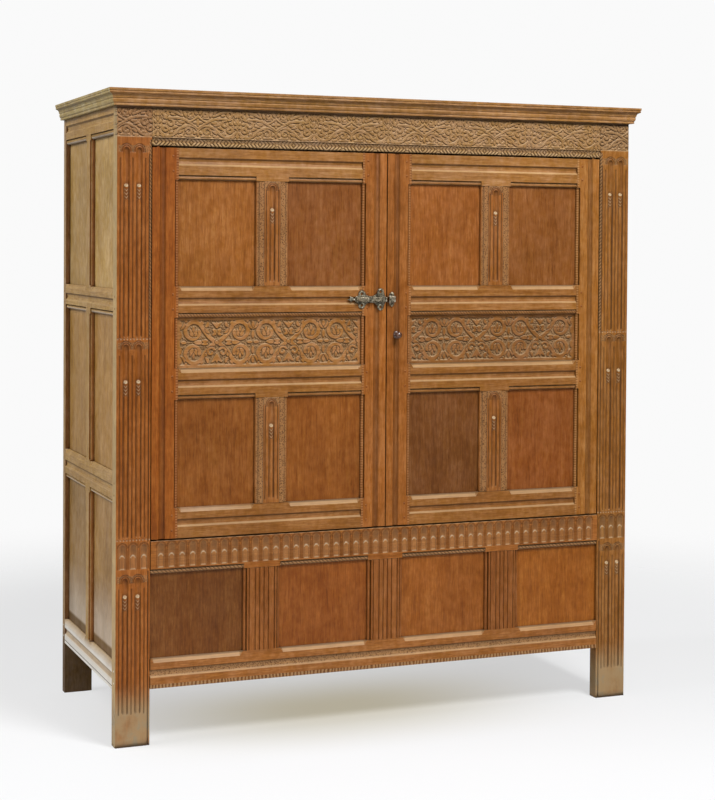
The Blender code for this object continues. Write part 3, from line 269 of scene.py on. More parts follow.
def makeFloor(setup):
    bpy.ops.mesh.primitive_circle_add(
        vertices=setup["floorSides"], radius=setup["fadeEnd"] + setup["floorSpare"], fill_type="NGON")
    floor = bpy.context.object
    floor.name = "floor"
    material, s, point = startFinish("floorPaper")
    away = s.add("ShaderNodeVectorMath", {"operation": "LENGTH"}, {0: point}, "Value")
    fade = s.ease(away, setup["fadeStart"], setup["fadeEnd"])
    outer, inner = setup["warmArea"]
    reach = [s.apart(s.part(point, index), setup["warmMiddle"][index]) for index in range(2)]
    # painted warm bounce light in the floor's shadow under the press
    under = s.ease(reach[0], outer[0], inner[0]) * s.ease(reach[1], outer[1], inner[1])
    tinge = s.mix(under, (setup["white"],) * 3, setup["warm"])
    glow = s.add("ShaderNodeEmission", None, {"Color": tinge, "Strength": 1.0})
    matt = s.add("ShaderNodeBsdfDiffuse", None, {"Color": (*setup["floor"], 1)})
    lift = s.ray("Is Camera Ray") * setup["floorLift"]
    paper = s.add("ShaderNodeMixShader", None, {0: lift, 1: matt, 2: glow})
    clear = s.add("ShaderNodeBsdfTransparent")
    s.close(s.add("ShaderNodeMixShader", None, {0: fade, 1: paper, 2: clear}))
    floor.data.materials.append(material)


def makeLamps(lamps):
    for name, lamp in lamps.items():
        data = bpy.data.lights.new(name, "AREA")
        data.shape = "DISK"
        data.size = lamp["size"]
        data.energy = lamp["power"]
        bulb = addObject(name, data)
        bulb.location = lamp["place"]
        ahead = Vector(lamp["aim"]) - Vector(lamp["place"])
        bulb.rotation_euler = ahead.to_track_quat("-Z", "Y").to_euler()


makeSky(stageSetup)
makeFloor(stageSetup)
makeLamps(stageSetup["lamps"])
print("floor and lamps set")


# grain is the long axis; dark, middle and light are the grain's colours; ledge is how much upward faces are painted
# paler, as wear and as a painted highlight;
# heights and half widths say where a piece's own channels, sills and edges lie, in metres
oakLooks = {
    "oakPost": {
        "grain": "z", "dark": (0.150, 0.041, 0.005), "middle": (0.268, 0.080, 0.011), "light": (0.365, 0.130, 0.024),
        "feet": (0.318, 0.217, 0.108), "smudge": (0.245, 0.200, 0.125), "sideFace": (0.43, 0.290, 0.125)},
    # the rear post is painted paler and greyer, like the side, which stands partly for the light from the left
    "oakRearPost": {
        "grain": "z", "dark": (0.17, 0.095, 0.036), "middle": (0.30, 0.180, 0.070), "light": (0.40, 0.255, 0.110),
        "ledge": 0.2, "foot": 0.70, "frontShadeTint": (0.66, 0.47, 0.34)},
    "oakStile": {
        "grain": "z", "dark": (0.155, 0.042, 0.0045), "middle": (0.275, 0.080, 0.0095), "light": (0.37, 0.132, 0.024),
        "stiles": ((0.6795, 0.0095), (0.032, 0.0095)), "jambs": ((0.634, 0.6405), (0.071, 0.0775))},
    "oakRail": {
        "grain": "x", "dark": (0.16, 0.056, 0.0096), "middle": (0.264, 0.104, 0.0225), "light": (0.357, 0.170, 0.053),
        "channels": (0.618, 1.0097, 1.2402, 1.633), "sillTops": (0.6605, 1.0522, 1.2827), "ledge": 0.38},
    "oakPanel": {
        "grain": "z", "dark": (0.115, 0.033, 0.0045), "middle": (0.198, 0.063, 0.0105), "light": (0.26, 0.100, 0.022),
        "figure": 0.5},
    "oakCarved": {
        "grain": "x", "dark": (0.22, 0.090, 0.024), "middle": (0.33, 0.155, 0.048), "light": (0.43, 0.230, 0.088)},
    "oakArcade": {
        "grain": "x", "dark": (0.150, 0.048, 0.0063), "middle": (0.246, 0.086, 0.014), "light": (0.334, 0.142, 0.032)},
    "oakMuntin": {
        "grain": "z", "dark": (0.155, 0.048, 0.0075), "middle": (0.26, 0.090, 0.017), "light": (0.34, 0.143, 0.036)},
    # the side's pieces are painted paler and greyer than the front's, which stands partly for the light from the left
    "oakSidePanel": {
        "grain": "z", "dark": (0.20, 0.096, 0.026), "middle": (0.33, 0.180, 0.056), "light": (0.43, 0.262, 0.094),
        "figure": 0.4, "floorGlare": (0.26, 0.46, 0.34), "ledge": 0.2, "sillShadow": (0.252, 0.263), "uneven": 1.7},
    "oakSideFrame": {
        "grain": "y", "dark": (0.21, 0.104, 0.024), "middle": (0.35, 0.198, 0.056), "light": (0.46, 0.290, 0.096),
        "channels": (0.194, 0.7188, 1.2375, 1.753), "ledge": 0.12, "lips": (0.6748, 1.200, 1.707),
        "uprights": ((0.231, 0.6748), (0.7628, 1.200), (1.275, 1.707)), "uprightTint": (0.72, 0.48, 0.35),
        "tintTurn": (0.25, 0.6), "floorGlare": (0.205, 0.240, 1.0), "glareFreeChannel": (0.194, 0.0100), "scratch": 0.1665},
    "oakBaseFrame": {
        "grain": "x", "dark": (0.155, 0.050, 0.0075), "middle": (0.265, 0.094, 0.0175), "light": (0.36, 0.155, 0.042),
        "channels": (0.1995,), "sillTops": (0.2415,), "ledge": 0.40, "uprights": ((0.2415, 0.478),),
        "uprightTint": (0.82, 0.72, 0.60), "stipple": (0.1920, 0.2085), "gouged": 0.1680},
    "oakCornice": {
        "grain": "x", "dark": (0.16, 0.068, 0.018), "middle": (0.28, 0.133, 0.040), "light": (0.39, 0.212, 0.080),
        "returns": 0.491, "returnTint": (1.14, 1.72, 2.14), "ledge": 0.10, "overhang": 0.22},
    "oakTop": {
        "grain": "x", "dark": (0.13, 0.060, 0.022), "middle": (0.25, 0.130, 0.052), "light": (0.36, 0.210, 0.100),
        "boards": ("y", 0.2233, -0.321), "ledge": 0.0},
    "oakBack": {
        "grain": "z", "dark": (0.13, 0.065, 0.026), "middle": (0.26, 0.145, 0.064), "light": (0.37, 0.225, 0.115),
        "boards": ("x", 0.246, -0.738)},
    "oakFloor": {
        "grain": "x", "dark": (0.14, 0.070, 0.028), "middle": (0.28, 0.155, 0.068), "light": (0.39, 0.240, 0.125),
        "ledge": 0.0},
}
oakGrain = {
    # noise along and across the grain, per metre, with its detail and roughness
    "stray": (2.2, 5.0, 2.0, 0.5), "broad": (0.9, 17.0, 3.0, 0.55), "fine": (7.0, 120.0, 3.0, 0.6),
    "hair": (26.0, 380.0, 2.0, 0.6), "pore": (26.0, 700.0, 2.0, 0.6),
    "fleck": (60.0, 250.0, 2.0, 0.55),           # short rays across the grain
    # noise in x, y and z, per metre, with its detail and roughness
    "patch": (3.1, 3.1, 3.1, 3.0, 0.55), "cloud": (14.0, 14.0, 11.0, 4.0, 0.6), "mottle": (60.0, 60.0, 44.0, 4.0, 0.62),
    "sway": (0.55, 0.45, 0.55, 0.46),            # how much patch, cloud, mottle and fleck change the tone
    "boardSway": 0.16,
    "wander": 0.005,                             # how far a line strays sideways, metres
    "pieceShift": 31.0, "boardShift": 7.3, "boardSeed": 0.37,      # each piece and board has its own tree
    "toneShares": (0.16, 0.40, 0.44),            # of broad, fine and hair
    "toneSpan": (0.22, 0.78), "middleStop": 0.48,
    "rings": (95.0, 40.0, 17.0, 8.0), "ringDepth": 0.05,           # a panel's figure
    "poreSpan": (0.43, 0.33), "poreDepth": 0.45,
    "hues": ((0.99, 0.92, 0.55), (1.01, 1.08, 1.45)),              # redder and yellower wood, in clouds
    "hueShares": (0.45, 0.55), "hueSpan": (0.36, 0.64),
    "seam": 0.0004, "joint": (0.0028, 0.0012),   # softness of a line where boards meet, and the gap between them
    # dirt, and painted shade in corners, cuts and under edges
    "dirtAndShade": (0.026, 0.010, 0.003),
    "dust": (0.30, 0.185, 0.085),                # greyer wood in carved ground
    # worn wood, also used for painted highlights on edges that face the light
    "worn": (0.62, 0.445, 0.235),
    "bare": (0.55, 0.430, 0.265),                # end grain on the stops, made paler still as a painted highlight where they catch the light
    "glareColour": (0.73, 0.685, 0.612),                # painted reflection of the white floor, low on the sides and on the rails' lower edges
    "shadeAndDirtReach": 0.014, "shadeAndDirtSpan": (0.20, 0.85), "shadeAndDirtDepth": 0.85,
    "bump": 0.12, "bumpDistance": 0.0009, "gloss": 0.20, "coat": 0.04, "coatRough": 0.25,
}
oakMarks = {
    # turns: how far a face looks up or forward where a mark starts and where it is full
    "ledgeTurn": (0.30, 0.62), "overhangTurn": (-0.30, -0.75), "lipTurn": (-0.12, -0.35), "frontTurn": (0.25, 0.6),
    # strips: metres from a line where a mark starts, is full, has ended and is full again
    "sill": (-0.0052, -0.0020, 0.003, 0.001), "lip": (-0.002, 0, 0.009, 0.006),
    "channelTop": (0.003, 0.0095, 0.0118, 0.0108), "channelFoot": (-0.0128, -0.0116, -0.0080, -0.0104),
    # amounts: the least of a mark, and what the wood's patches add to it
    "ledgeWearAndHighlight": (0.55, 0.9), "glareAmounts": (0.6, 0.8), "channelGlare": (0.30, 0.70), "lipGlare": (0.20, 0.50),
    "groundDust": (0.4, 0.6), "channelFootHighlight": (0.08, 0.36), "nickDirt": (0.10, 0.40), "gougeDirt": (0.10, 0.95),
    "wornAndLitGrain": (0.50, 0.6), "grimeDepth": (0.70, 0.5), "scuffing": (0.45, 0.55),
    "sillDirt": 0.60, "jointDirt": 0.9, "channelTopShade": 0.56, "stileChannelDarkening": 0.34, "sillShadowDepth": 0.55,
    "ledge": 0.44, "overhang": 0.55,             # for a finish that gives none
    "flank": (0.8108, 0.8117),                   # half widths between a post's face and its flank
    "frontFoot": (0.16, 0.20), "channelGlareEdge": 0.002, "stileEdge": (0.0006, -0.003), "scratch": (0.0016, 0.0006),
    "nickPitch": 0.0075, "nickBeat": (0.1, 0.6), "nickEdge": 0.0003, "nickWear": 0.16,
    "gougePitch": 0.0105, "gougeStray": 17.0, "gougeBeat": (-0.3, 0.6), "gougeEdge": 0.0006, "gougeDust": 0.75,
    "footShadeSpan": (0.24, 0.14), "scuff": (0.185, 0.080), "scuffSpan": (0.36, 0.52), "scuffDepth": 0.85,
    "smudge": (0.125, 0.05), "smudgeSpan": (0.50, 0.60), "smudgeDepth": 0.75,
    "punch": 250.0, "punchSpan": (0.50, 0.25), "punchDirt": 0.75, "punchDust": 0.38,      # dots per metre
    "stippleEdge": 0.0005, "stippleDust": 0.55,
}
# how single pieces differ from their finish, as red, green and blue factors
pieceTones = {
    "left_door_hinge_stile": (0.86, 0.76, 0.46), "left_door_meeting_stile": (1.00, 1.10, 1.42),
    "right_door_meeting_stile": (0.90, 0.97, 1.12), "right_door_hinge_stile": (0.99, 1.25, 1.66),
    "door_top_rail": (1.03, 1.12, 1.30), "door_upper_rail": (0.96, 0.95, 0.91),
    "door_lower_rail": (0.91, 0.90, 0.86), "door_bottom_rail": (0.88, 0.85, 0.75),
    "left_door_upper_panel_1": (1.25, 1.30, 1.16), "left_door_upper_panel_2": (1.00, 1.00, 1.06),
    "right_door_upper_panel_1": (1.26, 1.22, 1.13), "right_door_upper_panel_2": (1.04, 1.08, 1.16),
    "left_door_lower_panel_1": (1.03, 0.98, 0.70), "left_door_lower_panel_2": (1.05, 0.97, 0.63),
    "right_door_lower_panel_1": (0.71, 0.75, 0.87), "right_door_lower_panel_2": (1.03, 0.92, 0.84),
    "base_panel_1": (0.68, 0.66, 0.47), "base_panel_2": (1.03, 0.88, 0.52),
    "base_panel_3": (1.16, 1.07, 0.72), "base_panel_4": (1.26, 1.17, 0.62),
    "left_door_carved_panel": (0.92, 0.84, 0.74), "right_door_carved_panel": (0.66, 0.57, 0.47),
    "frieze_rail": (1.02, 1.13, 1.25), "arcade_rail": (1.06, 0.97, 0.86),
    "front_post_left": (0.96, 0.96, 0.90), "front_post_right": (0.90, 1.14, 1.40), "pegs": (0.72, 0.66, 0.55),
    "bolt_plate": (0.82, 0.80, 0.76), "bolt_keeper": (1.05, 1.0, 0.95),
    "bolt_trim": (1.20, 1.18, 1.10), "bolt": (1.30, 1.22, 1.12),
    "side_panel_upper_front": (1.21, 1.35, 1.38), "side_panel_upper_rear": (1.02, 1.11, 1.10),
    "side_panel_middle_front": (0.98, 0.93, 0.75), "side_panel_middle_rear": (0.92, 0.89, 0.72),
    "side_panel_lower_front": (0.91, 0.89, 0.80), "side_panel_lower_rear": (0.75, 0.76, 0.74),
}


def swapped(first, second, mask):
    return first * mask + second * (1 - mask), second * mask + first * (1 - mask)


def layBoards(s, point, look):
    # which way the grain runs, and which board of a fused node a point lies on
    g, axis = oakGrain, dict(zip("xyz", s.parts(point)))
    o = SimpleNamespace(axis=axis, sideways=s.calc("ABSOLUTE", axis["x"]), upright=0.0)
    long = look["grain"]
    wide, deep = (key for key in "xyz" if key != long)
    o.along, o.first, o.second = axis[long], axis[wide], axis[deep]
    if "uprights" in look:                     # part of the node runs the other way
        for low, high in look["uprights"]:
            o.upright = s.band(axis["z"], low, high, g["seam"]) + o.upright
        o.along, o.first = swapped(axis["z"], axis[long], o.upright)
        o.second = axis[wide]
    if "returns" in look:                      # the cornice turns the corner on a mitre
        o.side = s.ease(o.sideways + axis["y"] - look["returns"], -g["seam"], g["seam"])
        o.along, o.first = swapped(axis["y"], axis["x"], o.side)
        o.second = axis["z"]
    o.chance = s.add("ShaderNodeObjectInfo", None, None, "Random")
    o.shift = o.chance * g["pieceShift"]
    if "boards" in look:                       # each board of a fused node has its own tree
        key, width, start = look["boards"]
        board = s.calc("FLOOR", (axis[key] - start) / width)
        seed = board + g["boardSeed"]
        o.chance = s.add("ShaderNodeTexWhiteNoise", {"noise_dimensions": "1D"}, {"W": seed}, "Value")
        o.shift = board * g["boardShift"]
        o.joint = s.ease(s.calc("PINGPONG", axis[key] - start, width / 2), *g["joint"])
    return o


def layGrain(s, look, o):
    # streaks and pores along the grain, and clouds that cross it
    g = oakGrain
    strayLong, strayCross, *strayKind = g["stray"]
    stray = s.noise(s.join(o.along * strayLong + o.shift, o.first * strayCross, o.second * strayCross), *strayKind)
    first = o.first + (stray - 0.5) * g["wander"]

    def streaks(lengthwise, across, *kind):
        place = s.join(o.along * lengthwise + o.shift, first * across + o.shift, o.second * across)
        return s.noise(place, *kind)

    def clouds(x, y, z, *kind):
        return s.noise(s.join(o.axis["x"] * x + o.shift, o.axis["y"] * y, o.axis["z"] * z), *kind)

    broad, o.fine, o.hair, pore, fleck = (streaks(*g[key]) for key in ("broad", "fine", "hair", "pore", "fleck"))
    o.patch, o.cloud, o.mottle = (clouds(*g[key]) for key in ("patch", "cloud", "mottle"))
    broadShare, fineShare, hairShare = g["toneShares"]
    tone = broad * broadShare + o.fine * fineShare + o.hair * hairShare
    if "figure" in look:
        ringFirst, ringSecond, ringBroad, ringStray = g["rings"]
        rings = first * ringFirst + o.second * ringSecond + broad * ringBroad + stray * ringStray
        tone = tone + s.calc("SINE", rings) * o.fine * (g["ringDepth"] * look["figure"])
    o.cells = s.ease(pore, *g["poreSpan"])
    wood = s.ramp(s.ease(tone, *g["toneSpan"]), look, g["middleStop"])
    o.wood = s.mix(o.cells * g["poreDepth"], wood, look["dark"])

    uneven = look.get("uneven", 1.0)
    patchSway, cloudSway, mottleSway, fleckSway = g["sway"]
    level = 1 + (o.patch - 0.5) * patchSway * uneven + (o.cloud - 0.5) * cloudSway * uneven
    level = level + (o.mottle - 0.5) * mottleSway + (fleck - 0.5) * fleckSway
    if "boards" in look:
        level = level + (o.chance - 0.5) * g["boardSway"]
    o.level = s.join(level, level, level)


def tintOak(s, look, o):
    # each piece's own tone, and painted light: the side's paler faces, the painted reflection of the floor, and painted
    # shade on faces the light misses
    g, m, z = oakGrain, oakMarks, o.axis["z"]
    wood = s.tinted(s.tinted(o.wood, o.level), s.add("ShaderNodeObjectInfo", None, None, "Color"))
    cloudShare, mottleShare = g["hueShares"]
    hue = s.ease(o.cloud * cloudShare + o.mottle * mottleShare, *g["hueSpan"])
    wood = s.tinted(wood, s.mix(hue, *g["hues"]))
    facing = s.add("ShaderNodeNewGeometry", None, None, "Normal")
    forward = s.part(facing, 1) * -1
    o.upward = s.part(facing, 2)
    if "uprightTint" in look:
        # on the side frame only the forward faces are tinted: painted shade where the light from the left misses them
        where = o.upright * s.ease(forward, *look["tintTurn"]) if "tintTurn" in look else o.upright
        wood = s.tintedWhere(where, wood, look["uprightTint"])
    if "frontShadeTint" in look:                    # painted shade on the rear post's forward faces beside the panels
        where = s.ease(forward, *m["frontTurn"]) * s.ease(z, *m["frontFoot"])
        wood = s.tintedWhere(where, wood, look["frontShadeTint"])
    # the cornice's side return is painted paler and greyer, standing partly for the light from the left
    if "returnTint" in look:
        wood = s.tintedWhere(o.side, wood, look["returnTint"])
    if "sideFace" in look:                     # the post's flank is painted in the side's paler colour, which stands partly for the light from the left
        wood = s.mix(s.ease(o.sideways, *m["flank"]), wood, s.tinted(o.level, look["sideFace"]))
    # painted reflection of the white floor, stronger towards the bottom of the side
    if "floorGlare" in look:
        low, high, strength = look["floorGlare"]
        glare = s.ease(z, high, low) * vary(o.cloud, m["glareAmounts"]) * strength
        if "sillShadow" in look:
            glare = glare * s.ease(z, *look["sillShadow"])
        if "glareFreeChannel" in look:                # less painted reflection of the floor in the channel
            place, half = look["glareFreeChannel"]
            outside = s.ease(s.apart(z, place), half - m["channelGlareEdge"], half)
            glare = glare * vary(outside, m["channelGlare"])
        wood = s.mix(glare, wood, g["glareColour"])
    for edge in look.get("lips", ()):          # painted reflection of the floor on the rails' lower edges
        paling = s.strip(z, edge, m["lip"]) * s.ease(o.upward, *m["lipTurn"]) * vary(o.cloud, m["lipGlare"])
        wood = s.mix(paling, wood, g["glareColour"])
    o.wood = s.mix(s.attribute("dust") * vary(o.patch, m["groundDust"]), wood, g["dust"])


def wearOak(s, look, o):
    # where hands and dusters have rubbed and where dirt lies, with painted highlights on faces turned up and painted
    # shade on faces turned down and in channels
    m, z = oakMarks, o.axis["z"]
    # upward faces are painted paler: a painted highlight from the lamps above, with some wear
    ledge = s.ease(o.upward, *m["ledgeTurn"])
    # downward faces are painted darker: painted shade under every edge
    overhang = s.ease(o.upward, *m["overhangTurn"])
    worn = s.most(s.attribute("worn"), ledge * vary(o.patch, m["ledgeWearAndHighlight"]) * look.get("ledge", m["ledge"]))
    grime = s.most(s.attribute("sunk"), overhang * look.get("overhang", m["overhang"]))
    for top in look.get("sillTops", ()):       # dirt lies where a sill meets its panel
        grime = s.most(grime, ledge * s.strip(z, top, m["sill"]) * m["sillDirt"])
    if "boards" in look:
        grime = s.most(grime, o.joint * m["jointDirt"])
    for place in look.get("channels", ()):     # painted shade, with some dirt, under each channel's upper edge, and a painted highlight on its lower edge
        edge = z - place
        grime = s.most(grime, s.strip(edge, 0, m["channelTop"]) * m["channelTopShade"])
        worn = s.most(worn, s.strip(edge, 0, m["channelFoot"]) * vary(o.patch, m["channelFootHighlight"]))
    for place, half in look.get("stiles", ()):      # the stiles' upright channels are painted darker
        start, full = (half + offset for offset in m["stileEdge"])
        grime = s.most(grime, s.ease(s.apart(o.sideways, place), start, full) * m["stileChannelDarkening"])
    o.notch = 0.0
    if "jambs" in look:                        # the stiles' inner edges are nicked
        beat = s.ease(s.calc("SINE", z * (2 * math.pi / m["nickPitch"])), *m["nickBeat"])
        for low, high in look["jambs"]:
            strip = s.band(o.sideways, low, high, m["nickEdge"])
            o.notch = o.notch + strip * beat
            worn = s.most(worn, strip * (1 - beat) * m["nickWear"])
        grime = s.most(grime, o.notch * vary(o.patch, m["nickDirt"]))
    if "gouged" in look:                       # a row of gouge cuts along the lower edge
        turn = o.axis["x"] * (2 * math.pi / m["gougePitch"]) + o.cloud * m["gougeStray"]
        beat = s.ease(s.calc("SINE", turn), *m["gougeBeat"])
        strip = s.ease(z, look["gouged"] + m["gougeEdge"], look["gouged"] - m["gougeEdge"])
        o.notch = strip * beat
        grime = s.most(grime, o.notch * vary(o.mottle, m["gougeDirt"]))
        o.wood = s.mix(strip * (1 - beat) * m["gougeDust"], o.wood, oakGrain["dust"])
    if "scratch" in look:
        grime = s.most(grime, s.ease(s.apart(z, look["scratch"]), *m["scratch"]))
    # painted shadow along the bottom of the side panels, by the sill
    if "sillShadow" in look:
        grime = s.most(grime, s.ease(z, *reversed(look["sillShadow"])) * m["sillShadowDepth"])
    # the rear post is painted darker towards the floor: painted shade
    if "foot" in look:
        grime = s.most(grime, s.ease(z, *m["footShadeSpan"]) * look["foot"])
    # wear and painted highlights mixed in as paler wood
    wood = s.mix(worn * vary(o.fine, m["wornAndLitGrain"]), o.wood, oakGrain["worn"])
    o.wood = s.mix(s.attribute("bare"), wood, oakGrain["bare"])
    o.grime = grime


def soilOak(s, point, look, o):
    # scuffed feet, painted shade with some dirt in the corners, and the dots of a matting punch
    g, m, z = oakGrain, oakMarks, o.axis["z"]
    wood = o.wood
    if "feet" in look:                         # the feet are scuffed grey, with a smudge
        scuffing = vary(s.ease(o.cloud * 0.6 + o.patch * 0.4, *m["scuffSpan"]), m["scuffing"])
        wood = s.mix(s.ease(z, *m["scuff"]) * scuffing * m["scuffDepth"], wood, look["feet"])
        smudge = s.ease(z, *m["smudge"]) * s.ease(o.mottle * 0.4 + o.cloud * 0.6, *m["smudgeSpan"])
        wood = s.mix(smudge * m["smudgeDepth"], wood, look["smudge"])
    # painted shade, with some dirt, wherever a corner or crevice is close
    dirtAndShade = s.ease(s.shelter(g["shadeAndDirtReach"]), *g["shadeAndDirtSpan"]) * g["shadeAndDirtDepth"]
    o.hidden = s.most(dirtAndShade, o.grime * vary(o.patch, m["grimeDepth"]))
    wood = s.mix(o.hidden, wood, g["dirtAndShade"])
    if "stipple" in look:
        punched, paling = s.band(z, *look["stipple"], m["stippleEdge"]), m["stippleDust"]
    else:
        punched, paling = s.attribute("punched"), m["punchDust"]
    dots = s.add("ShaderNodeTexVoronoi", None, {"Vector": point, "Scale": m["punch"]}, "Distance")
    o.dot = s.ease(dots, *m["punchSpan"]) * punched
    wood = s.mix(o.dot * m["punchDirt"], wood, g["dirtAndShade"])
    o.wood = s.mix((1 - o.dot) * punched * paling, wood, g["dust"])


def oakFinish(name, look):
    g = oakGrain
    material, s, point = startFinish(name)
    o = layBoards(s, point, look)
    layGrain(s, look, o)
    tintOak(s, look, o)
    wearOak(s, look, o)
    soilOak(s, point, look, o)
    rough = 0.40 + o.fine * 0.20 + o.hidden * 0.25
    height = o.fine * 0.4 + o.hair * 0.3 - o.cells * 0.7 - o.dot * 2.0 + o.patch * 0.3 - o.notch * 2.0
    s.glossy({"Base Color": o.wood, "Roughness": rough, "Normal": s.bump(g["bump"], g["bumpDistance"], height),
              "Specular IOR Level": g["gloss"], "Coat Weight": g["coat"], "Coat Roughness": g["coatRough"]})
    return material


ironLook = {"dark": (0.030, 0.023, 0.015), "middle": (0.265, 0.235, 0.170), "light": (0.71, 0.66, 0.53),
            "hammer": (140.0, 3.0, 0.55), "scale": (620.0, 3.0, 0.6),      # noise per metre, detail and roughness
            "toneSpan": (0.32, 0.68), "shadeAndDirtReach": 0.006, "shadeAndDirtSpan": (0.15, 0.75), "shadeAndDirtDepth": 0.85,
            "bump": 0.60, "bumpDistance": 0.0009}
knobLook = {"dark": (0.026, 0.009, 0.004), "middle": (0.070, 0.026, 0.013), "light": (0.135, 0.056, 0.030),
            "grain": (220.0, 40.0, 60.0), "grainKind": (4.0, 0.6),
            "toneSpan": (0.3, 0.7), "shadeAndDirtReach": 0.008, "shadeAndDirtSpan": (0.3, 0.95), "shadeAndDirtDepth": 0.7,
            "bump": 0.1, "bumpDistance": 0.0005, "coat": 0.5, "coatRough": 0.08}


def ironFinish(name, look):
    material, s, point = startFinish(name)
    axis = s.parts(point)

    def grit(size, *kind):
        return s.noise(s.join(*(part * size for part in axis)), *kind)

    hammer, scale = grit(*look["hammer"]), grit(*look["scale"])
    metal = s.ramp(s.ease(hammer * 0.6 + scale * 0.4, *look["toneSpan"]), look)
    metal = s.tinted(metal, s.add("ShaderNodeObjectInfo", None, None, "Color"))
    # painted shade, with some dirt, in the iron's corners
    dirtAndShade = s.ease(s.shelter(look["shadeAndDirtReach"]), *look["shadeAndDirtSpan"])
    metal = s.mix(dirtAndShade * look["shadeAndDirtDepth"], metal, look["dark"])
    bump = s.bump(look["bump"], look["bumpDistance"], hammer + scale * 0.3)
    s.glossy({"Base Color": metal, "Roughness": 0.27 + scale * 0.2, "Metallic": 0.75 - dirtAndShade * 0.4, "Normal": bump})
    return material


def knobFinish(name, look):
    material, s, point = startFinish(name)
    grain = s.noise(s.join(*(part * size for part, size in zip(s.parts(point), look["grain"]))), *look["grainKind"])
    wood = s.ramp(s.ease(grain, *look["toneSpan"]), look)
    # painted shade, with some dirt, in the knob's corners
    dirtAndShade = s.ease(s.shelter(look["shadeAndDirtReach"]), *look["shadeAndDirtSpan"])
    wood = s.mix(dirtAndShade * look["shadeAndDirtDepth"], wood, look["dark"])
    bump = s.bump(look["bump"], look["bumpDistance"], grain)
    s.glossy({"Base Color": wood, "Roughness": 0.22 + grain * 0.12, "Normal": bump,
              "Coat Weight": look["coat"], "Coat Roughness": look["coatRough"]})
    return material


finishes = {name: oakFinish(name, look) for name, look in oakLooks.items()}
finishes["wroughtIron"] = ironFinish("wroughtIron", ironLook)
finishes["knobWood"] = knobFinish("knobWood", knobLook)
print("finishes made:", len(finishes))


# the first word that a node's name holds decides its finish
nodeFinishes = {
    "bolt": "wroughtIron", "knob": "knobWood", "side_panel": "oakSidePanel", "side_frame": "oakSideFrame",
    "rear_post": "oakRearPost", "post": "oakPost", "stile": "oakStile", "muntin": "oakMuntin", "carved": "oakCarved",
    "frieze": "oakCarved", "arcade": "oakArcade", "base_frame": "oakBaseFrame", "panel": "oakPanel",
    "rail": "oakRail", "cornice": "oakCornice", "top_boards": "oakTop", "back_boards": "oakBack",
    "floor_boards": "oakFloor",
}
softEdge = {"wood": 0.0011, "iron": 0.0005, "angle": 32, "segments": 2, "weld": 0.00002, "flat": 1.0}


def dress(piece, finish, name):
    piece.data.materials.clear()
    piece.data.materials.append(finishes[finish])
    piece.color = (*next((tone for key, tone in pieceTones.items() if key in name), (1, 1, 1)), 1)


def softenNode(name, piece):
    # hand-planed arrises: the solids' edges are eased, their faces stay where they are
    weld = piece.modifiers.new("weld", "WELD")
    weld.merge_threshold = softEdge["weld"]
    flat = piece.modifiers.new("flat", "DECIMATE")
    flat.decimate_type = "DISSOLVE"
    flat.angle_limit = math.radians(softEdge["flat"])
    edge = piece.modifiers.new("edge", "BEVEL")
    edge.width = softEdge["iron"] if "bolt" in name else softEdge["wood"]
    edge.segments = softEdge["segments"]
    edge.limit_method = "ANGLE"
    edge.angle_limit = math.radians(softEdge["angle"])
    edge.use_clamp_overlap = True
    edge.harden_normals = False


for name, piece in nodes.items():
    dress(piece, next(finish for word, finish in nodeFinishes.items() if word in name), name)
    softenNode(name, piece)
print("solids dressed:", len(nodes))


def addPiece(name, mesh, body, finish, tone):
    piece = addObject(name, mesh)
    dress(piece, finish, tone)
    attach(piece, body)
    return piece


def addMask(mesh, name, values):
    mask = mesh.attributes.new(name, "FLOAT", "POINT")
    mask.data.foreach_set("value", values)


def carvedBoard(name, body, node, finish, xs, zs, face, back, carve):
    # a closed board whose front follows carve(x, z): depth into the wood, and masks for the finish
    acrossX, upZ = np.meshgrid(xs, zs)
    depth, masks = carve(acrossX, upZ)
    wide, tall = len(xs), len(zs)
    front = np.stack([acrossX, face + depth, upZ], -1).reshape(-1, 3)
    index = np.arange(wide * tall).reshape(tall, wide)
    quads = np.stack([index[:-1, :-1], index[:-1, 1:], index[1:, 1:], index[1:, :-1]], -1).reshape(-1, 4)
    ring = np.concatenate([index[0, :-1], index[:-1, -1], index[-1, :0:-1], index[:0:-1, 0]])
    rear = front[ring].copy()
    rear[:, 1] = back
    rearIndex = len(front) + np.arange(len(ring))
    walls = np.stack([np.roll(ring, -1), ring, rearIndex, np.roll(rearIndex, -1)], -1)
    faces = quads.tolist() + walls.tolist() + [rearIndex[::-1].tolist()]
    mesh = bpy.data.meshes.new(name)
    mesh.from_pydata(np.concatenate([front, rear]).tolist(), [], faces)
    smooth = np.zeros(len(faces), dtype=bool)
    smooth[:len(quads)] = True
    mesh.polygons.foreach_set("use_smooth", smooth)
    for key, values in masks.items():
        addMask(mesh, key, np.concatenate([unit(values).reshape(-1), np.zeros(len(ring))]).astype(np.float32))
    mesh.update()
    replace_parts(addPiece(name, mesh, body, finish, node), node)


def steps(*spans):
    # grid lines over spans of (start, end, spacing)
    lines = [np.linspace(a, b, max(1, round((b - a) / step)) + 1)[:-1] for a, b, step in spans]
    return np.concatenate(lines + [[spans[-1][1]]])


def unit(values):
    return np.clip(values, 0, 1)


def scoop(away, half, deep):
    radius = (half * half + deep * deep) / (2 * deep)
    return np.where(np.abs(away) < half, np.sqrt(np.maximum(radius * radius - away * away, 0)) - (radius - deep), 0)


def vee(away, half, deep):
    return np.maximum(0, deep * (1 - np.abs(away) / half))


def hill(values, middle, width):
    return np.exp(-((values - middle) / width) ** 2)


def between(z, low, high):
    return (z >= low) & (z <= high)


def repeat(x, pitch, start=0.0):
    return (x - start + pitch / 2) % pitch - pitch / 2


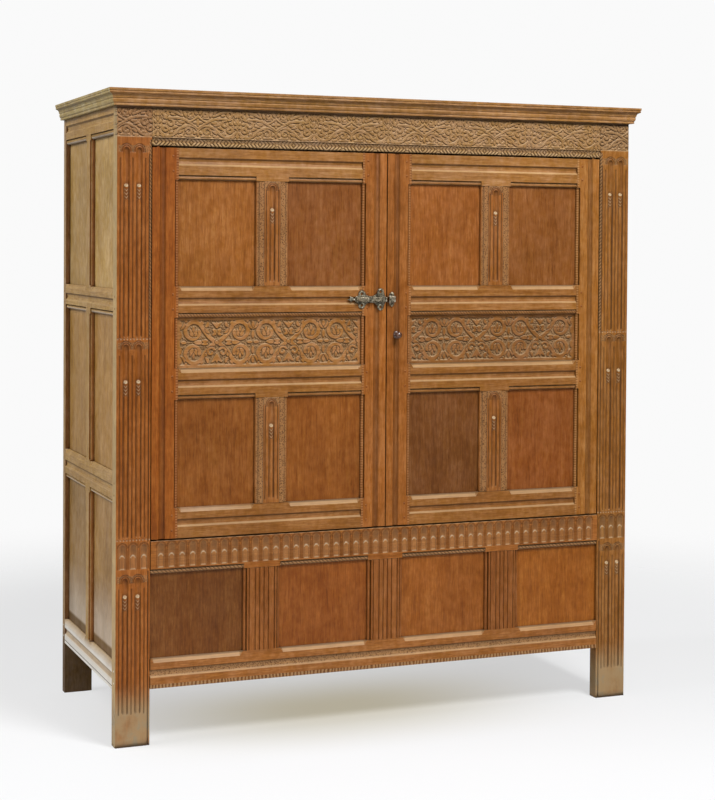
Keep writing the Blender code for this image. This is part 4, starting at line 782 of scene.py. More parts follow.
# painted shade in a cut, from its depth
def cutShade(line, deep, dirtAndShade):
    gain, most = dirtAndShade
    return unit(line / deep * gain) * most


def cutLine(depth, sunk, line, deep, dirtAndShade):
    # a V cut in the wood, painted darker along its bottom: painted shade
    return np.maximum(depth, line), np.maximum(sunk, cutShade(line, deep, dirtAndShade))


def curl(middle, big, small, start, end, count=34):
    points = []
    for step in range(count + 1):
        t = step / count
        radius = big + (small - big) * t ** 1.6
        angle = math.radians(start + (end - start) * t)
        points.append((middle[0] + radius * math.cos(angle), middle[1] + radius * math.sin(angle)))
    return points


def bow(a, b, c, d, count=16):
    # a cubic curve through its end points
    points = []
    for step in range(count + 1):
        t = step / count
        w = ((1 - t) ** 3, 3 * t * (1 - t) ** 2, 3 * t * t * (1 - t), t ** 3)
        points.append(tuple(sum(wi * p[k] for wi, p in zip(w, (a, b, c, d))) for k in (0, 1)))
    return points


def ribbon(points, half):
    return points, [half] * len(points)


def leaf(a, b, half, bend=0.0, count=8):
    # a pointed leaf from a to b, bowed sideways
    side = (-(b[1] - a[1]), b[0] - a[0])
    points, halves = [], []
    for step in range(count + 1):
        t = step / count
        swell = math.sin(math.pi * min(1.0, 0.12 + 0.88 * t)) ** 0.8
        out = bend * 4 * t * (1 - t)
        points.append((a[0] + (b[0] - a[0]) * t + side[0] * out, a[1] + (b[1] - a[1]) * t + side[1] * out))
        halves.append(max(0.0003, half * swell))
    return points, halves


def mirrored(strokes, sx, sz):
    return [([(sx * x, sz * z) for x, z in points], halves) for points, halves in strokes]


def layStrokes(x, z, layers, gap):
    # signed distance to the uppermost ribbon; each later layer cuts a line round itself
    field = np.full(x.shape, 1.0)
    for strokes in layers:
        near = np.full(x.shape, 1.0)
        for points, halves in strokes:
            for (ax, az), (bx, bz), ha, hb in zip(points[:-1], points[1:], halves[:-1], halves[1:]):
                dx, dz = bx - ax, bz - az
                t = unit(((x - ax) * dx + (z - az) * dz) / (dx * dx + dz * dz + 1e-12))
                near = np.minimum(near, np.hypot(x - ax - t * dx, z - az - t * dz) - (ha + (hb - ha) * t))
        field = np.where(near < gap, near, np.minimum(field, near))
    return field


def seeded(field, xs, zs, pitch, size):
    # small round seeds, a little out of line, wherever the ground is open
    acrossX, upZ = np.meshgrid(xs, zs)
    sown = field.copy()
    for row in range(int((zs[-1] - zs[0]) / pitch) + 1):
        for column in range(int((xs[-1] - xs[0]) / pitch) + 1):
            x = xs[0] + (column + 0.5 * (row % 2) + 0.22 * math.sin(12.9 * column + 7.3 * row)) * pitch
            z = zs[0] + (row + 0.22 * math.sin(5.1 * column + 3.7 * row)) * pitch
            near = field[min(len(zs) - 1, np.searchsorted(zs, z)), min(len(xs) - 1, np.searchsorted(xs, x))]
            if near > size + 0.0009:
                sown = np.minimum(sown, np.hypot(acrossX - x, upZ - z) - size)
    return sown


def repeatedField(c, layers, heights, across):
    # one repeat of the carving, crossed by its neighbours' strokes, is drawn and then laid along the board
    count = round(c["period"] / c["step"] / 2) * 2
    grid = np.linspace(-c["period"] / 2, c["period"] / 2, count + 1)
    spread = [[([(x + step * c["period"], z) for x, z in points], halves) for step in (-1, 0, 1)
               for points, halves in layer] for layer in layers]
    field = layStrokes(*np.meshgrid(grid, heights), spread, c["gap"])
    tile = seeded(field, grid, heights, c["seed"], c["seedSize"])
    return np.stack([np.interp(across, grid, line) for line in tile])


def framed(field, edge):
    # the carving stops at its border, which stays at the face
    return np.where(edge > 0, np.minimum(field, np.maximum(edge, 0)), -1.0)


def raised(field, ground, edge):
    # depth of a carved field: ribbons at the face, ground sunk, sides sloped over edge
    t = unit(field / edge + 0.5)
    return ground * t * t * (3 - 2 * t)


def reliefShade(depth, ground, rows=2):
    # painted shadow on the ground just below a ribbon, and a painted highlight on a ribbon's upper edge
    above = np.vstack([depth[rows:], np.repeat(depth[-1:], rows, 0)])
    return unit((depth - above) / ground), unit((above - depth) / ground)


# faces and ends of the boards that are carved anew, in metres
boardFace = {"carcass": -0.321, "door": -0.317, "doorBack": -0.289, "arcadeBack": -0.287, "half": 0.7117, "top": 1.8058}

# stopped flutes, shared by posts and muntins; a shade is (gain, most), for the painted shade in cuts
fluteShape = {"half": 0.009, "deep": 0.006, "reed": 0.0062, "sink": 0.0003,
              "hatchPitch": 0.0098, "hatchHalf": 0.0020, "hatchDeep": 0.0016, "hatchSlope": 1.1,
              "hatchFrom": 0.013, "hatchTo": 0.043, "hatchBare": 0.62, "hatchDirt": (0.7, 0.60),
              "arcs": (0.0120, 0.0165), "arcHalf": 0.0018, "arcDeep": 0.0020, "arcRise": 0.9, "arcFoot": 1.6,
              "arcShade": (1.3, 0.80), "hollowShade": (0.10, 0.26), "headDrop": 0.020, "headFade": 0.008,
              "stopFade": 0.010, "stopShade": 0.45, "flankFrom": 0.70, "flankGain": 3.3, "flankShade": 0.62,
              "flankDrop": 0.009, "besideDrop": 0.004, "besideShade": 0.66,
              "noseWide": 0.0064, "noseTall": 0.0046, "noseHighlight": 0.85, "eyeWide": 0.42, "eyeDrop": 0.6, "eyeTall": 0.5}


def stoppedFlute(x, z, middle, low, high, stop, c=fluteShape):
    half, reed, crown = c["half"], c["reed"], high - c["half"]
    u = x - middle
    away = np.hypot(u, np.maximum(0, np.maximum(z - crown, (low + half) - z)))
    hollow = scoop(away, half, c["deep"])
    over = np.maximum(0, z - (stop - reed))
    swell = reed * reed - u * u - over * over          # the cable ends in a round nose
    onReed = (swell > 0) & (hollow > 0) & (z < stop)
    beside = (hollow > 0) & ~onReed
    depth = np.where(onReed, np.minimum(hollow, c["sink"] + reed - np.sqrt(np.maximum(swell, 0))), hollow)
    hatch = between(z, stop - c["hatchTo"], stop - c["hatchFrom"]) & onReed
    cross = vee(repeat(z - np.abs(u) * c["hatchSlope"] - stop, c["hatchPitch"]), c["hatchHalf"], c["hatchDeep"])
    depth = depth + np.where(hatch, cross, 0)

    # painted shade in the hollows beside the reed, above the stop, in the arc lines and on the reed's flanks
    least, more = c["hollowShade"]
    sunk = np.where(beside, least + more * unit((z - (high - c["headDrop"])) / c["headFade"]), 0)
    nearStop = unit((stop + c["stopFade"] - z) / c["stopFade"]) * c["stopShade"]
    sunk = np.maximum(sunk, np.where(beside, nearStop, 0))
    for radius in c["arcs"]:
        line = vee(np.hypot(u, (z - crown) * c["arcRise"]) - radius, c["arcHalf"], c["arcDeep"])
        line = np.where(z > high - half * c["arcFoot"], line, 0)
        depth, sunk = cutLine(depth, sunk, line, c["arcDeep"], c["arcShade"])
    flank = unit((np.abs(u) / reed - c["flankFrom"]) * c["flankGain"]) * c["flankShade"]
    sunk = np.maximum(sunk, np.where(onReed & (z < stop - c["flankDrop"]), flank, 0))
    sunk = np.maximum(sunk, np.where((z < stop - c["besideDrop"]) & beside, c["besideShade"], 0))

    # the cable's round nose is painted paler: a painted highlight on end grain
    wide, tall = c["noseWide"], c["noseTall"]
    nose = (u / wide) ** 2 + ((z - (stop - tall)) / tall) ** 2
    eye = (u / (wide * c["eyeWide"])) ** 2 + ((z - (stop - tall * c["eyeDrop"])) / (tall * c["eyeTall"])) ** 2
    bare = np.where(onReed, unit((1.05 - nose) * 2.2) * np.clip(eye - 0.35, 0.25, 1) * c["noseHighlight"], 0)
    bare = np.maximum(bare, np.where(hatch, cross / c["hatchDeep"] * c["hatchBare"], 0))
    ridge, dirtAndShade = c["hatchDirt"]
    sunk = np.maximum(sunk, np.where(hatch, unit(ridge - cross / c["hatchDeep"]) * dirtAndShade, 0))
    return depth, sunk, bare


# the scrolled band along the frieze and over the post heads
friezeCarving = {"low": 1.6985, "high": 1.7795, "period": 0.232, "start": 0.116, "ground": 0.0025, "edge": 0.0010,
                 "gap": 0.0010, "ribbon": 0.0029, "fuller": 1.22, "border": 0.0012, "step": 0.0012, "rows": 0.0013,
                 "innerLine": 0.0026, "innerHalf": 0.0010, "innerDeep": 0.0006, "innerShade": 0.42,
                 "seed": 0.0050, "seedSize": 0.0014, "under": 1.3, "outline": (0.0006, 0.0008), "outlineShade": 0.26,
                 "shade": 1.7745, "shadeFade": 0.0025, "shadeDepth": 0.80, "dust": (0.30, 0.25), "worn": 0.16}


def friezeStrokes():
    w, half = friezeCarving["ribbon"], friezeCarving["period"] / 2
    wave = bow((0.0030, -0.0150), (0.0120, -0.0020), (0.0300, -0.0030), (0.0460, -0.0115))
    wave += bow((0.0460, -0.0115), (0.0580, -0.0180), (0.0660, -0.0360), (0.0870, -0.0355))[1:]
    wave += bow((0.0870, -0.0355), (0.1000, -0.0350), (0.1050, -0.0270), (half, -0.0200))[1:]
    top = bow((0.0460, 0.0225), (0.0580, 0.0270), (0.0700, 0.0345), (0.0875, 0.0350))
    top += curl((0.0925, 0.0275), 0.0090, 0.0045, 100, -200)[1:]
    right = [
        ribbon(wave, w),                                     # over the eye beside the knot, down and round the bowl
        ribbon(curl((0.0270, -0.0215), 0.0095, 0.0050, 20, 330), w * 0.85),
        ribbon(bow((0.0275, 0.0050), (0.0400, 0.0130), (0.0550, 0.0170), (0.0850, 0.0150)), w),
        ribbon(curl((0.0800, 0.0015), 0.0098, 0.0050, 75, 330), w * 0.9),
        ribbon(top, w * 0.95),
        ribbon(curl((0.0225, 0.0265), 0.0072, 0.0035, 130, 420), w * 0.85),
        ribbon(curl((0.0945, -0.0145), 0.0080, 0.0040, 190, 500), w * 0.9),
    ]
    leaves = (          # foot, tip, half width and bend
        ((0.0365, 0.0205), (0.0435, 0.0345), 0.0036, 0.12), ((0.0480, 0.0290), (0.0560, 0.0385), 0.0032, 0.10),
        ((0.0060, 0.0270), (0.0110, 0.0380), 0.0034, 0.10), ((0.0150, 0.0165), (0.0300, 0.0150), 0.0030, 0.10),
        ((0.0400, 0.0040), (0.0580, 0.0070), 0.0036, -0.10), ((0.0480, -0.0040), (0.0650, -0.0020), 0.0036, 0.10),
        ((0.0590, -0.0090), (0.0720, -0.0160), 0.0034, 0.15), ((0.0440, -0.0200), (0.0560, -0.0290), 0.0036, 0.12),
        ((0.0100, -0.0355), (0.0400, -0.0360), 0.0030, 0.05), ((0.0460, -0.0340), (0.0600, -0.0370), 0.0030, 0.05),
        ((0.0720, -0.0260), (0.0830, -0.0285), 0.0032, 0.10), ((0.0690, 0.0240), (0.0800, 0.0255), 0.0032, 0.10),
        ((0.0890, 0.0115), (0.1010, 0.0150), 0.0032, 0.12), ((0.0925, 0.0060), (0.1030, 0.0015), 0.0032, -0.12),
        ((0.1105, 0.0200), (0.1075, 0.0380), 0.0026, 0.05), ((0.1140, 0.0010), (0.1060, 0.0080), 0.0030, 0.10),
        ((0.1140, -0.0040), (0.1070, -0.0105), 0.0030, 0.10), ((0.1000, -0.0375), (0.1100, -0.0330), 0.0026, 0.05),
        ((0.0045, -0.0230), (0.0120, -0.0290), 0.0030, 0.10), ((half, 0.0210), (half, 0.0385), 0.0042),
        ((half, 0.0020), (half, 0.0175), 0.0040), ((half, -0.0020), (half, -0.0170), 0.0038),
        ((half, -0.0265), (half, -0.0385), 0.0040), ((0.0, -0.0170), (0.0, -0.0340), 0.0038),
    )
    right += [leaf(*shape) for shape in leaves]
    right = [(points, [size * friezeCarving["fuller"] for size in halves]) for points, halves in right]
    laid = [[stroke for way in (1, -1) for stroke in mirrored(right[start::3], way, 1)] for start in range(3)]
    bars = [ribbon(bow((0.0285, 0.0040), (0.018, 0.0080), (0.009, 0.0135), (0.0, 0.0205)), w * 0.9),
            ribbon(bow((0.0285, 0.0040), (0.018, 0.0000), (0.009, -0.0055), (0.0, -0.0125)), w * 0.9)]
    knot = mirrored(bars, 1, 1) + mirrored(bars, -1, 1)
    flower = []
    for turn in (0, 90, 180, 270):
        across, up = math.cos(math.radians(turn)), math.sin(math.radians(turn))
        flower.append(leaf((0.002 * across, 0.004 + 0.002 * up), (0.0150 * across, 0.004 + 0.0100 * up), 0.0036))
    return laid + [knot, flower]


def friezeField(x, z):
    c = friezeCarving
    rows = np.nonzero(between(z[:, 0], c["low"], c["high"]))[0]
    heights = z[rows, 0] - (c["low"] + c["high"]) / 2
    field = np.full(x.shape, -1.0)
    field[rows] = repeatedField(c, friezeStrokes(), heights, repeat(x[0], c["period"], c["start"]))
    return framed(field, np.minimum(z - c["low"], c["high"] - z) - c["border"])


def friezeDepth(x, z):
    c = friezeCarving
    field = friezeField(x, z)
    depth = raised(field, c["ground"], c["edge"])
    under, over = reliefShade(depth, c["ground"])
    under = unit(under * c["under"])
    inner = vee(field + c["innerLine"], c["innerHalf"], 1.0)
    depth = depth + inner * c["innerDeep"]
    # painted shade: a dark line round every ribbon and along the inner line
    sunk = np.maximum(hill(field, *c["outline"]) * c["outlineShade"], under)
    sunk = np.maximum(sunk, inner * c["innerShade"])
    # painted shadow of the cornice along the top of the frieze
    sunk = np.maximum(sunk, unit((z - c["shade"]) / c["shadeFade"]) * c["shadeDepth"])
    least, more = c["dust"]
    dust = (least + more * unit(depth / c["ground"])) * (1 - under)
    return depth, sunk, dust, over * c["worn"]


# the nulled band: round-headed niches, each with a short reed
arcadeCarving = {"pitch": 0.031, "count": 45, "low": 0.4955, "high": 0.566, "half": 0.0102, "deep": 0.0046,
                 "foot": 0.4783, "top": 0.5705, "columns": 20, "rows": (0.0011, 0.0016),
                 "reed": 0.0086, "sink": 0.0003, "stop": 0.5365, "arcs": (0.0122, 0.0146), "line": 0.0011,
                 "lineDeep": 0.0013, "lineShade": (1.3, 0.85), "slit": 0.0013, "slitDeep": 0.0022, "slitTop": 0.548,
                 "slitShade": 0.70, "hollowShade": (0.12, 0.30), "hollowFade": 0.012, "rimFrom": 0.72, "rimGain": 3.5,
                 "rimShade": 0.70, "nose": (0.80, 0.16), "noseHighlight": 0.55, "footRise": 0.0022, "footTall": 0.0020,
                 "footBare": 0.42, "dust": (0.34, 0.40)}


def arcadeDepth(x, z, first, count):
    c = arcadeCarving
    u = repeat(x, c["pitch"], first)
    inside = between(x, first - c["pitch"] / 2, first + (count - 0.5) * c["pitch"]).astype(float)
    head = c["high"] - c["half"]
    away = np.hypot(u, np.maximum(0, z - head))
    hollow = np.where(z > c["low"], scoop(away, c["half"], c["deep"]), 0)
    over = np.hypot(u, np.maximum(0, z - (c["stop"] - c["reed"]))) / c["reed"]
    cable = c["sink"] + c["deep"] * (1 - np.sqrt(np.maximum(1 - over * over, 0)))
    onReed = (over < 1) & (hollow > 0)
    depth = np.where(onReed, np.minimum(hollow, cable), hollow)
    lines = np.zeros(x.shape)
    for radius, foot in zip(c["arcs"], (c["low"], head)):      # the inner line runs down both sides of the niche
        lines = np.maximum(lines, np.where(z > foot, vee(away - radius, c["line"], 1.0), 0))
    slit = vee(np.abs(u) - c["pitch"] / 2, c["slit"], c["slitDeep"])
    slit = np.where(between(z, c["low"], c["slitTop"]), slit, 0)
    depth = np.maximum(np.maximum(depth, lines * c["lineDeep"]), slit)

    # painted shade in the niches, round the reed's rim, in the slits and in the cut lines
    least, more = c["hollowShade"]
    shade = least + more * unit((z - c["stop"]) / c["hollowFade"]) * hollow / c["deep"]
    sunk = np.where((hollow > 0) & ~onReed, shade, 0)
    sunk = np.maximum(sunk, np.where(onReed, unit((over - c["rimFrom"]) * c["rimGain"]) * c["rimShade"], 0))
    sunk = np.maximum(sunk, np.maximum(slit / c["slitDeep"] * c["slitShade"], cutShade(lines, 1.0, c["lineShade"])))
    # the reed's round nose is painted paler: a painted highlight on end grain
    nose = hill(over, *c["nose"]) * (z > c["stop"] - c["reed"])
    foot = hill(z, c["low"] + c["footRise"], c["footTall"]) * unit((1 - over * over) * 1.6)
    bare = np.where(onReed, np.maximum(nose * c["noseHighlight"], foot * c["footBare"]), 0)
    reedDust, hollowDust = c["dust"]
    dust = np.where(hollow > 0, np.where(onReed, reedDust, hollowDust), 0)
    return depth * inside, sunk * inside, bare * inside, dust * inside


# head beads cut like rope, over each base panel
ropeShape = {"bead": 0.0062, "deep": 0.0095, "quirk": 0.0135, "lay": 0.0118, "cut": 0.0019, "cutHalf": 0.0032,
             "slant": 1.0, "dirtAndShade": 0.8, "dust": 0.75, "low": 0.478,
             "spans": ((-0.712, -0.4385), (-0.3285, -0.055), (0.055, 0.3285), (0.4385, 0.712))}


def ropeBead(x, above, c=ropeShape):
    # depth over a bead whose lowest line is above = 0
    radius = c["bead"]
    onBead = above < 2 * radius
    swell = c["deep"] - np.sqrt(np.maximum(radius ** 2 - (above - radius) ** 2, 0))
    cut = vee(repeat(x + c["slant"] * above, c["lay"]), c["cutHalf"], c["cut"])
    slope = unit((c["quirk"] - above) / (c["quirk"] - 2 * radius)) * c["deep"]
    depth = np.where(onBead, swell + cut, slope)
    # painted shade in the rope's cuts and across the quirk above the bead
    sunk = np.where(onBead, cut / c["cut"] * c["dirtAndShade"], c["dirtAndShade"])
    inside = between(above, 0, c["quirk"])
    return np.where(inside, depth, 0), np.where(inside, sunk, 0), np.where(inside & onBead, c["dust"], 0)


friezeBead = {"low": 1.675, "high": 1.6965, "deep": 0.0045, "swell": 0.9, "pitch": 0.1015, "start": -0.345,
              "tick": 0.0112, "tickSlope": 0.9, "cut": 0.0028, "half": 0.0031, "tickShade": (1.3, 0.88),
              "lozenge": 0.0092, "lozengeSlope": 1.1, "lozengeLine": 0.8, "lozengeHalf": 0.0017,
              "quirk": 0.07, "quirkShade": 0.85, "shadeFrom": 0.42, "shadeGain": 2.0, "shadeDepth": 0.62,
              "dust": 0.25, "litTo": 0.55, "litGain": 2.2, "worn": 0.50}


def buildFrieze():
    c, b = friezeCarving, friezeBead

    def carve(x, z):
        depth, sunk, dust, worn = friezeDepth(x, z)
        t = (z - b["low"]) / (b["high"] - b["low"])
        inBead = between(t, 0, 1)
        swell = b["deep"] * (1 - np.sqrt(np.maximum(0, 1 - (2 * t - 1) ** 2)) * b["swell"])
        u, v = np.abs(repeat(x, b["pitch"], b["start"])), np.abs(z - (b["low"] + b["high"]) / 2)
        tick = vee(repeat(u - v * b["tickSlope"], b["tick"]), b["half"], b["cut"])
        lozenge = u + v * b["lozengeSlope"]
        outline = vee(lozenge - b["lozenge"] * b["lozengeLine"], b["lozengeHalf"], b["cut"])
        tick = np.where(lozenge < b["lozenge"], outline, tick)
        depth = np.where(inBead, swell + tick, depth)
        # painted shade in the cuts, the quirk and on the bead's upper half, and a painted highlight on its lower half
        sunk = np.where(inBead, cutShade(tick, b["cut"], b["tickShade"]), sunk)
        sunk = np.where(np.abs(t - 1) < b["quirk"], b["quirkShade"], sunk)
        shade = np.clip((t - b["shadeFrom"]) * b["shadeGain"], 0, b["shadeDepth"])
        sunk = np.where(inBead, np.maximum(sunk, shade), sunk)
        dust = np.where(inBead, b["dust"], dust)
        lowerHighlight = np.clip((b["litTo"] - t) * b["litGain"], 0, b["worn"]) * unit(1 - tick / b["cut"] * 2)
        return depth, {"sunk": sunk, "dust": dust, "worn": np.where(inBead, lowerHighlight, worn)}

    xs = steps((-boardFace["half"], boardFace["half"], c["step"]))
    zs = steps((b["low"], c["low"], c["rows"]), (c["low"], c["high"], c["rows"]), (c["high"], boardFace["top"], 0.02))
    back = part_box("frieze_rail")[1].y
    carvedBoard("frieze", "carcass", "frieze_rail", "oakCarved", xs, zs, boardFace["carcass"], back, carve)


def buildArcade():
    c, count = arcadeCarving, arcadeCarving["count"]
    first = -(count - 1) * c["pitch"] / 2

    def carve(x, z):
        depth, sunk, bare, dust = arcadeDepth(x, z, first, count)
        rope, ropeShade, ropeDust = ropeBead(x, z - ropeShape["low"])
        roped = np.any([between(x, start, end) for start, end in ropeShape["spans"]], 0) & (rope > 0)
        depth = np.where(roped, rope, depth)
        return depth, {"sunk": np.where(roped, ropeShade, sunk), "bare": bare, "dust": np.where(roped, ropeDust, dust)}

    xs = steps((-boardFace["half"], boardFace["half"], c["pitch"] / c["columns"]))
    zs = steps((c["foot"], c["low"], c["rows"][0]), (c["low"], c["top"], c["rows"][1]))
    carvedBoard("nulledRail", "carcass", "arcade_rail", "oakArcade", xs, zs,
                boardFace["carcass"], boardFace["arcadeBack"], carve)


postCarving = {
    "lengths": ((0.090, 0.472, 0.424), (0.5825, 1.122, 1.0225), (1.140, 1.669, 1.5675)),     # flutes' foot, head, stop
    "outer": 0.812, "width": 0.1, "flutes": (0.0275, 0.064), "grooves": (0.0097, 0.0455, 0.0818),
    "grooveHalf": 0.0022, "grooveDeep": 0.0030, "grooveShade": (1.3, 0.62), "grooveDrop": 0.030,
    "quirk": 0.0926, "quirkTop": 1.65, "quirkShade": (1.4, 0.9), "arris": 0.006, "arrisTop": 1.69,
    "notchRows": (0.5775, 1.1375), "notchPitch": 0.0092, "notchStart": 0.0046, "notchHalf": 0.0030,
    "notchTall": 0.0030, "notchDeep": 0.0022, "notchShade": 0.15, "notchBare": 0.42,
    "matted": 0.0152, "mattedRows": (-0.004, 0.006), "mattedAcross": (0.004, 0.092), "mattedDepth": 0.8,
    "bandMiddle": 0.05, "bandNiches": 3, "band": (0.4905, 0.5705), "head": 1.697, "headDust": 0.85,
    "ropeRows": (1.142, 1.69), "ropeLay": 0.0105, "ropeSlant": 1.2, "ropeHalf": 0.0030, "ropeDeep": 0.0022,
    "ropeShadeDeep": 0.0020, "ropeShade": (1.3, 0.85), "ropeDust": 0.65, "edge": 0.0016,
    "rows": ((0, 0.085, 0.02), (0.085, 0.104, 0.002), (0.104, 0.365, 0.02), (0.365, 0.60, 0.0015),
             (0.60, 0.975, 0.02), (0.975, 1.16, 0.0015), (1.16, 1.515, 0.0022), (1.515, 1.7795, 0.0016),
             (1.7795, 1.8058, 0.02)),
    "columns": ((0, 0.002, 0.0008), (0.002, 0.1 - 0.0003, 0.0012)),
}


def rounded(t, radius):
    # a quarter round, from 0 at t = 0 to the radius at t = 1
    return radius * (1 - np.sqrt(np.maximum(0, 1 - t ** 2)))


def buildPost(name, node, way):
    c = postCarving
    outer = way * c["outer"]

    def carve(x, z):
        along = (outer - x) * way
        depth, sunk, bare, dust, punched = (np.zeros(x.shape) for mask in range(5))
        for low, high, stop in c["lengths"]:
            crown = high - fluteShape["half"]          # matted ground round the flutes' heads
            apart = np.min([np.hypot(along - middle, z - crown) for middle in c["flutes"]], 0)
            below, above = c["mattedRows"]
            matted = between(z, crown + below, high + above) & between(along, *c["mattedAcross"])
            punched = np.maximum(punched, (matted & (apart > c["matted"])) * c["mattedDepth"])
            for middle in c["flutes"]:
                cuts = stoppedFlute(along, z, middle, low, high, stop)
                depth, sunk, bare = (np.maximum(*pair) for pair in zip((depth, sunk, bare), cuts))
            # painted shade in the grooves, and below in the quirk, the notches and the rope cuts
            for place in c["grooves"]:
                line = vee(along - place, c["grooveHalf"], c["grooveDeep"])
                line = np.where(between(z, low, high - c["grooveDrop"]), line, 0)
                depth, sunk = cutLine(depth, sunk, line, c["grooveDeep"], c["grooveShade"])
        line = np.where(z < c["quirkTop"], vee(along - c["quirk"], c["grooveHalf"], c["grooveDeep"]), 0)
        depth, sunk = cutLine(depth, sunk, line, c["grooveDeep"], c["quirkShade"])
        for level in c["notchRows"]:
            u = repeat(along, c["notchPitch"], c["notchStart"])
            dip = np.maximum(0, 1 - (u / c["notchHalf"]) ** 2 - ((z - level) / c["notchTall"]) ** 2)
            depth = np.maximum(depth, dip * c["notchDeep"])
            sunk, bare = np.maximum(sunk, dip * c["notchShade"]), np.maximum(bare, dip * c["notchBare"])

        band = between(z, *c["band"])                  # the nulled rail and the frieze run on over the posts
        niches = arcadeDepth(along, z, c["bandMiddle"] - arcadeCarving["pitch"], c["bandNiches"])
        depth, sunk, bare, dust = (np.where(band, *pair) for pair in zip(niches, (depth, sunk, bare, dust)))
        head = z > c["head"]
        scrolls = friezeDepth(x, z)
        depth, sunk, dust, worn = (np.where(head, *pair) for pair in zip(scrolls, (depth, sunk, dust, 0)))
        dust = np.where(head, np.maximum(dust, c["headDust"]), dust)

        inner = unit((along - (c["width"] - c["arris"])) / c["arris"])
        roped = between(z, *c["ropeRows"]) & (along > c["quirk"])
        rope = vee(repeat(z + along * c["ropeSlant"], c["ropeLay"]), c["ropeHalf"], c["ropeDeep"])
        rope = np.where(roped, rope, 0)
        depth = np.maximum(depth, np.where(z < c["arrisTop"], rounded(inner, c["arris"]), 0)) + rope
        sunk = np.maximum(sunk, cutShade(rope, c["ropeShadeDeep"], c["ropeShade"]))
        dust = np.where(roped, c["ropeDust"], dust)
        depth = np.maximum(depth, rounded(unit((c["edge"] - along) / c["edge"]), c["edge"]))
        return depth, {"sunk": sunk, "bare": bare, "dust": dust, "worn": worn, "punched": punched}

    xs = np.sort(outer - way * steps(*c["columns"]))
    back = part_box(node)[1].y
    carvedBoard(name, "carcass", node, "oakPost", xs, steps(*c["rows"]), boardFace["carcass"], back, carve)


# the long carved panel in each door: scrolls in pairs about a knot
scrollCarving = {"period": 0.2156, "knot": 0.5164, "middle": 1.12345, "border": 0.0090, "ground": 0.0038, "edge": 0.0012,
                 "gap": 0.0014, "ribbon": 0.0060, "step": 0.0013, "seed": 0.0056, "seedSize": 0.0016,
                 "face": -0.3045, "thick": 0.0074, "tongue": 0.008, "tongueStep": 0.004, "opening": (1.0522, 1.1947),
                 "outline": (0.0007, 0.0009), "outlineShade": 0.35, "underShadow": 0.85, "dust": 0.85, "worn": 0.14,
                 "punched": 0.55}


def scrollStrokes():
    c = scrollCarving
    w, half = c["ribbon"], c["period"] / 2
    quarter = [
        ribbon(bow((0.0, 0.0), (0.015, 0.004), (0.0345, 0.0267), (0.0445, 0.0447)) +
               curl((0.0685, 0.0315), 0.0272, 0.0165, 151, -178)[1:], w),
        leaf((0.0690, 0.0185), (0.0575, 0.0275), 0.0040, 0.12),
        leaf((0.0690, 0.0185), (0.0800, 0.0285), 0.0040, -0.12),
        leaf((0.0690, 0.0270), (0.0688, 0.0475), 0.0042),
        leaf((0.0688, 0.0230), (0.0600, 0.0385), 0.0040, 0.12),
        leaf((0.0692, 0.0230), (0.0785, 0.0400), 0.0040, -0.12),
        leaf((half, 0.012), (half, 0.0345), 0.0050),
        leaf((half, 0.0385), (half, 0.0610), 0.0056),
        leaf((half - 0.002, 0.038), (half - 0.0125, 0.0590), 0.0040, 0.16),
        leaf((0.0915, 0.0), (half - 0.0015, 0.0), 0.0052),
        leaf((0.0230, 0.0265), (0.0330, 0.0420), 0.0044, -0.16),
        leaf((0.0330, 0.0440), (0.0270, 0.0600), 0.0048, 0.16),
        leaf((0.0400, 0.0530), (0.0480, 0.0620), 0.0036),
        leaf((0.0880, 0.0585), (0.0960, 0.0620), 0.0034),
        leaf((0.0270, 0.0050), (0.0455, 0.0065), 0.0046, -0.10),
        leaf((0.0440, 0.0020), (0.0690, 0.0), 0.0044, 0.05),
    ]
    corners = [(sx, sz) for sx in (1, -1) for sz in (1, -1)]
    laid = [[stroke for corner in corners for stroke in mirrored(quarter[start::3], *corner)] for start in range(3)]
    petals = [leaf((0.0, 0.0285), (0.0165 * math.cos(a), 0.0285 + 0.0150 * math.sin(a)), 0.0052)
              for a in (math.radians(turn) for turn in (35, 145, 215, 325))]
    petals += [leaf((0.0, 0.042), (0.0, 0.0590), 0.0044), leaf((0.001, 0.041), (0.0165, 0.0565), 0.0040, 0.15),
               leaf((-0.001, 0.041), (-0.0165, 0.0565), 0.0040, -0.15)]
    palm = [ribbon(curl((way * 0.0175, -0.0262), 0.0112, 0.0048, 90 + way * 60, 90 - way * 250), 0.0036)
            for way in (1, -1)]
    palm += [leaf((0.0, -0.033), (0.0, -0.0590), 0.0052), leaf((0.004, -0.038), (0.0175, -0.0570), 0.0046, -0.14),
             leaf((-0.004, -0.038), (-0.0175, -0.0570), 0.0046, 0.14)]
    boss = [leaf((-0.002, 0.0), (0.002, 0.0), 0.0062)]
    heart = [leaf((-0.0006, 0.0285), (0.0006, 0.0285), 0.0030)]
    return laid + [petals, palm, boss, heart]


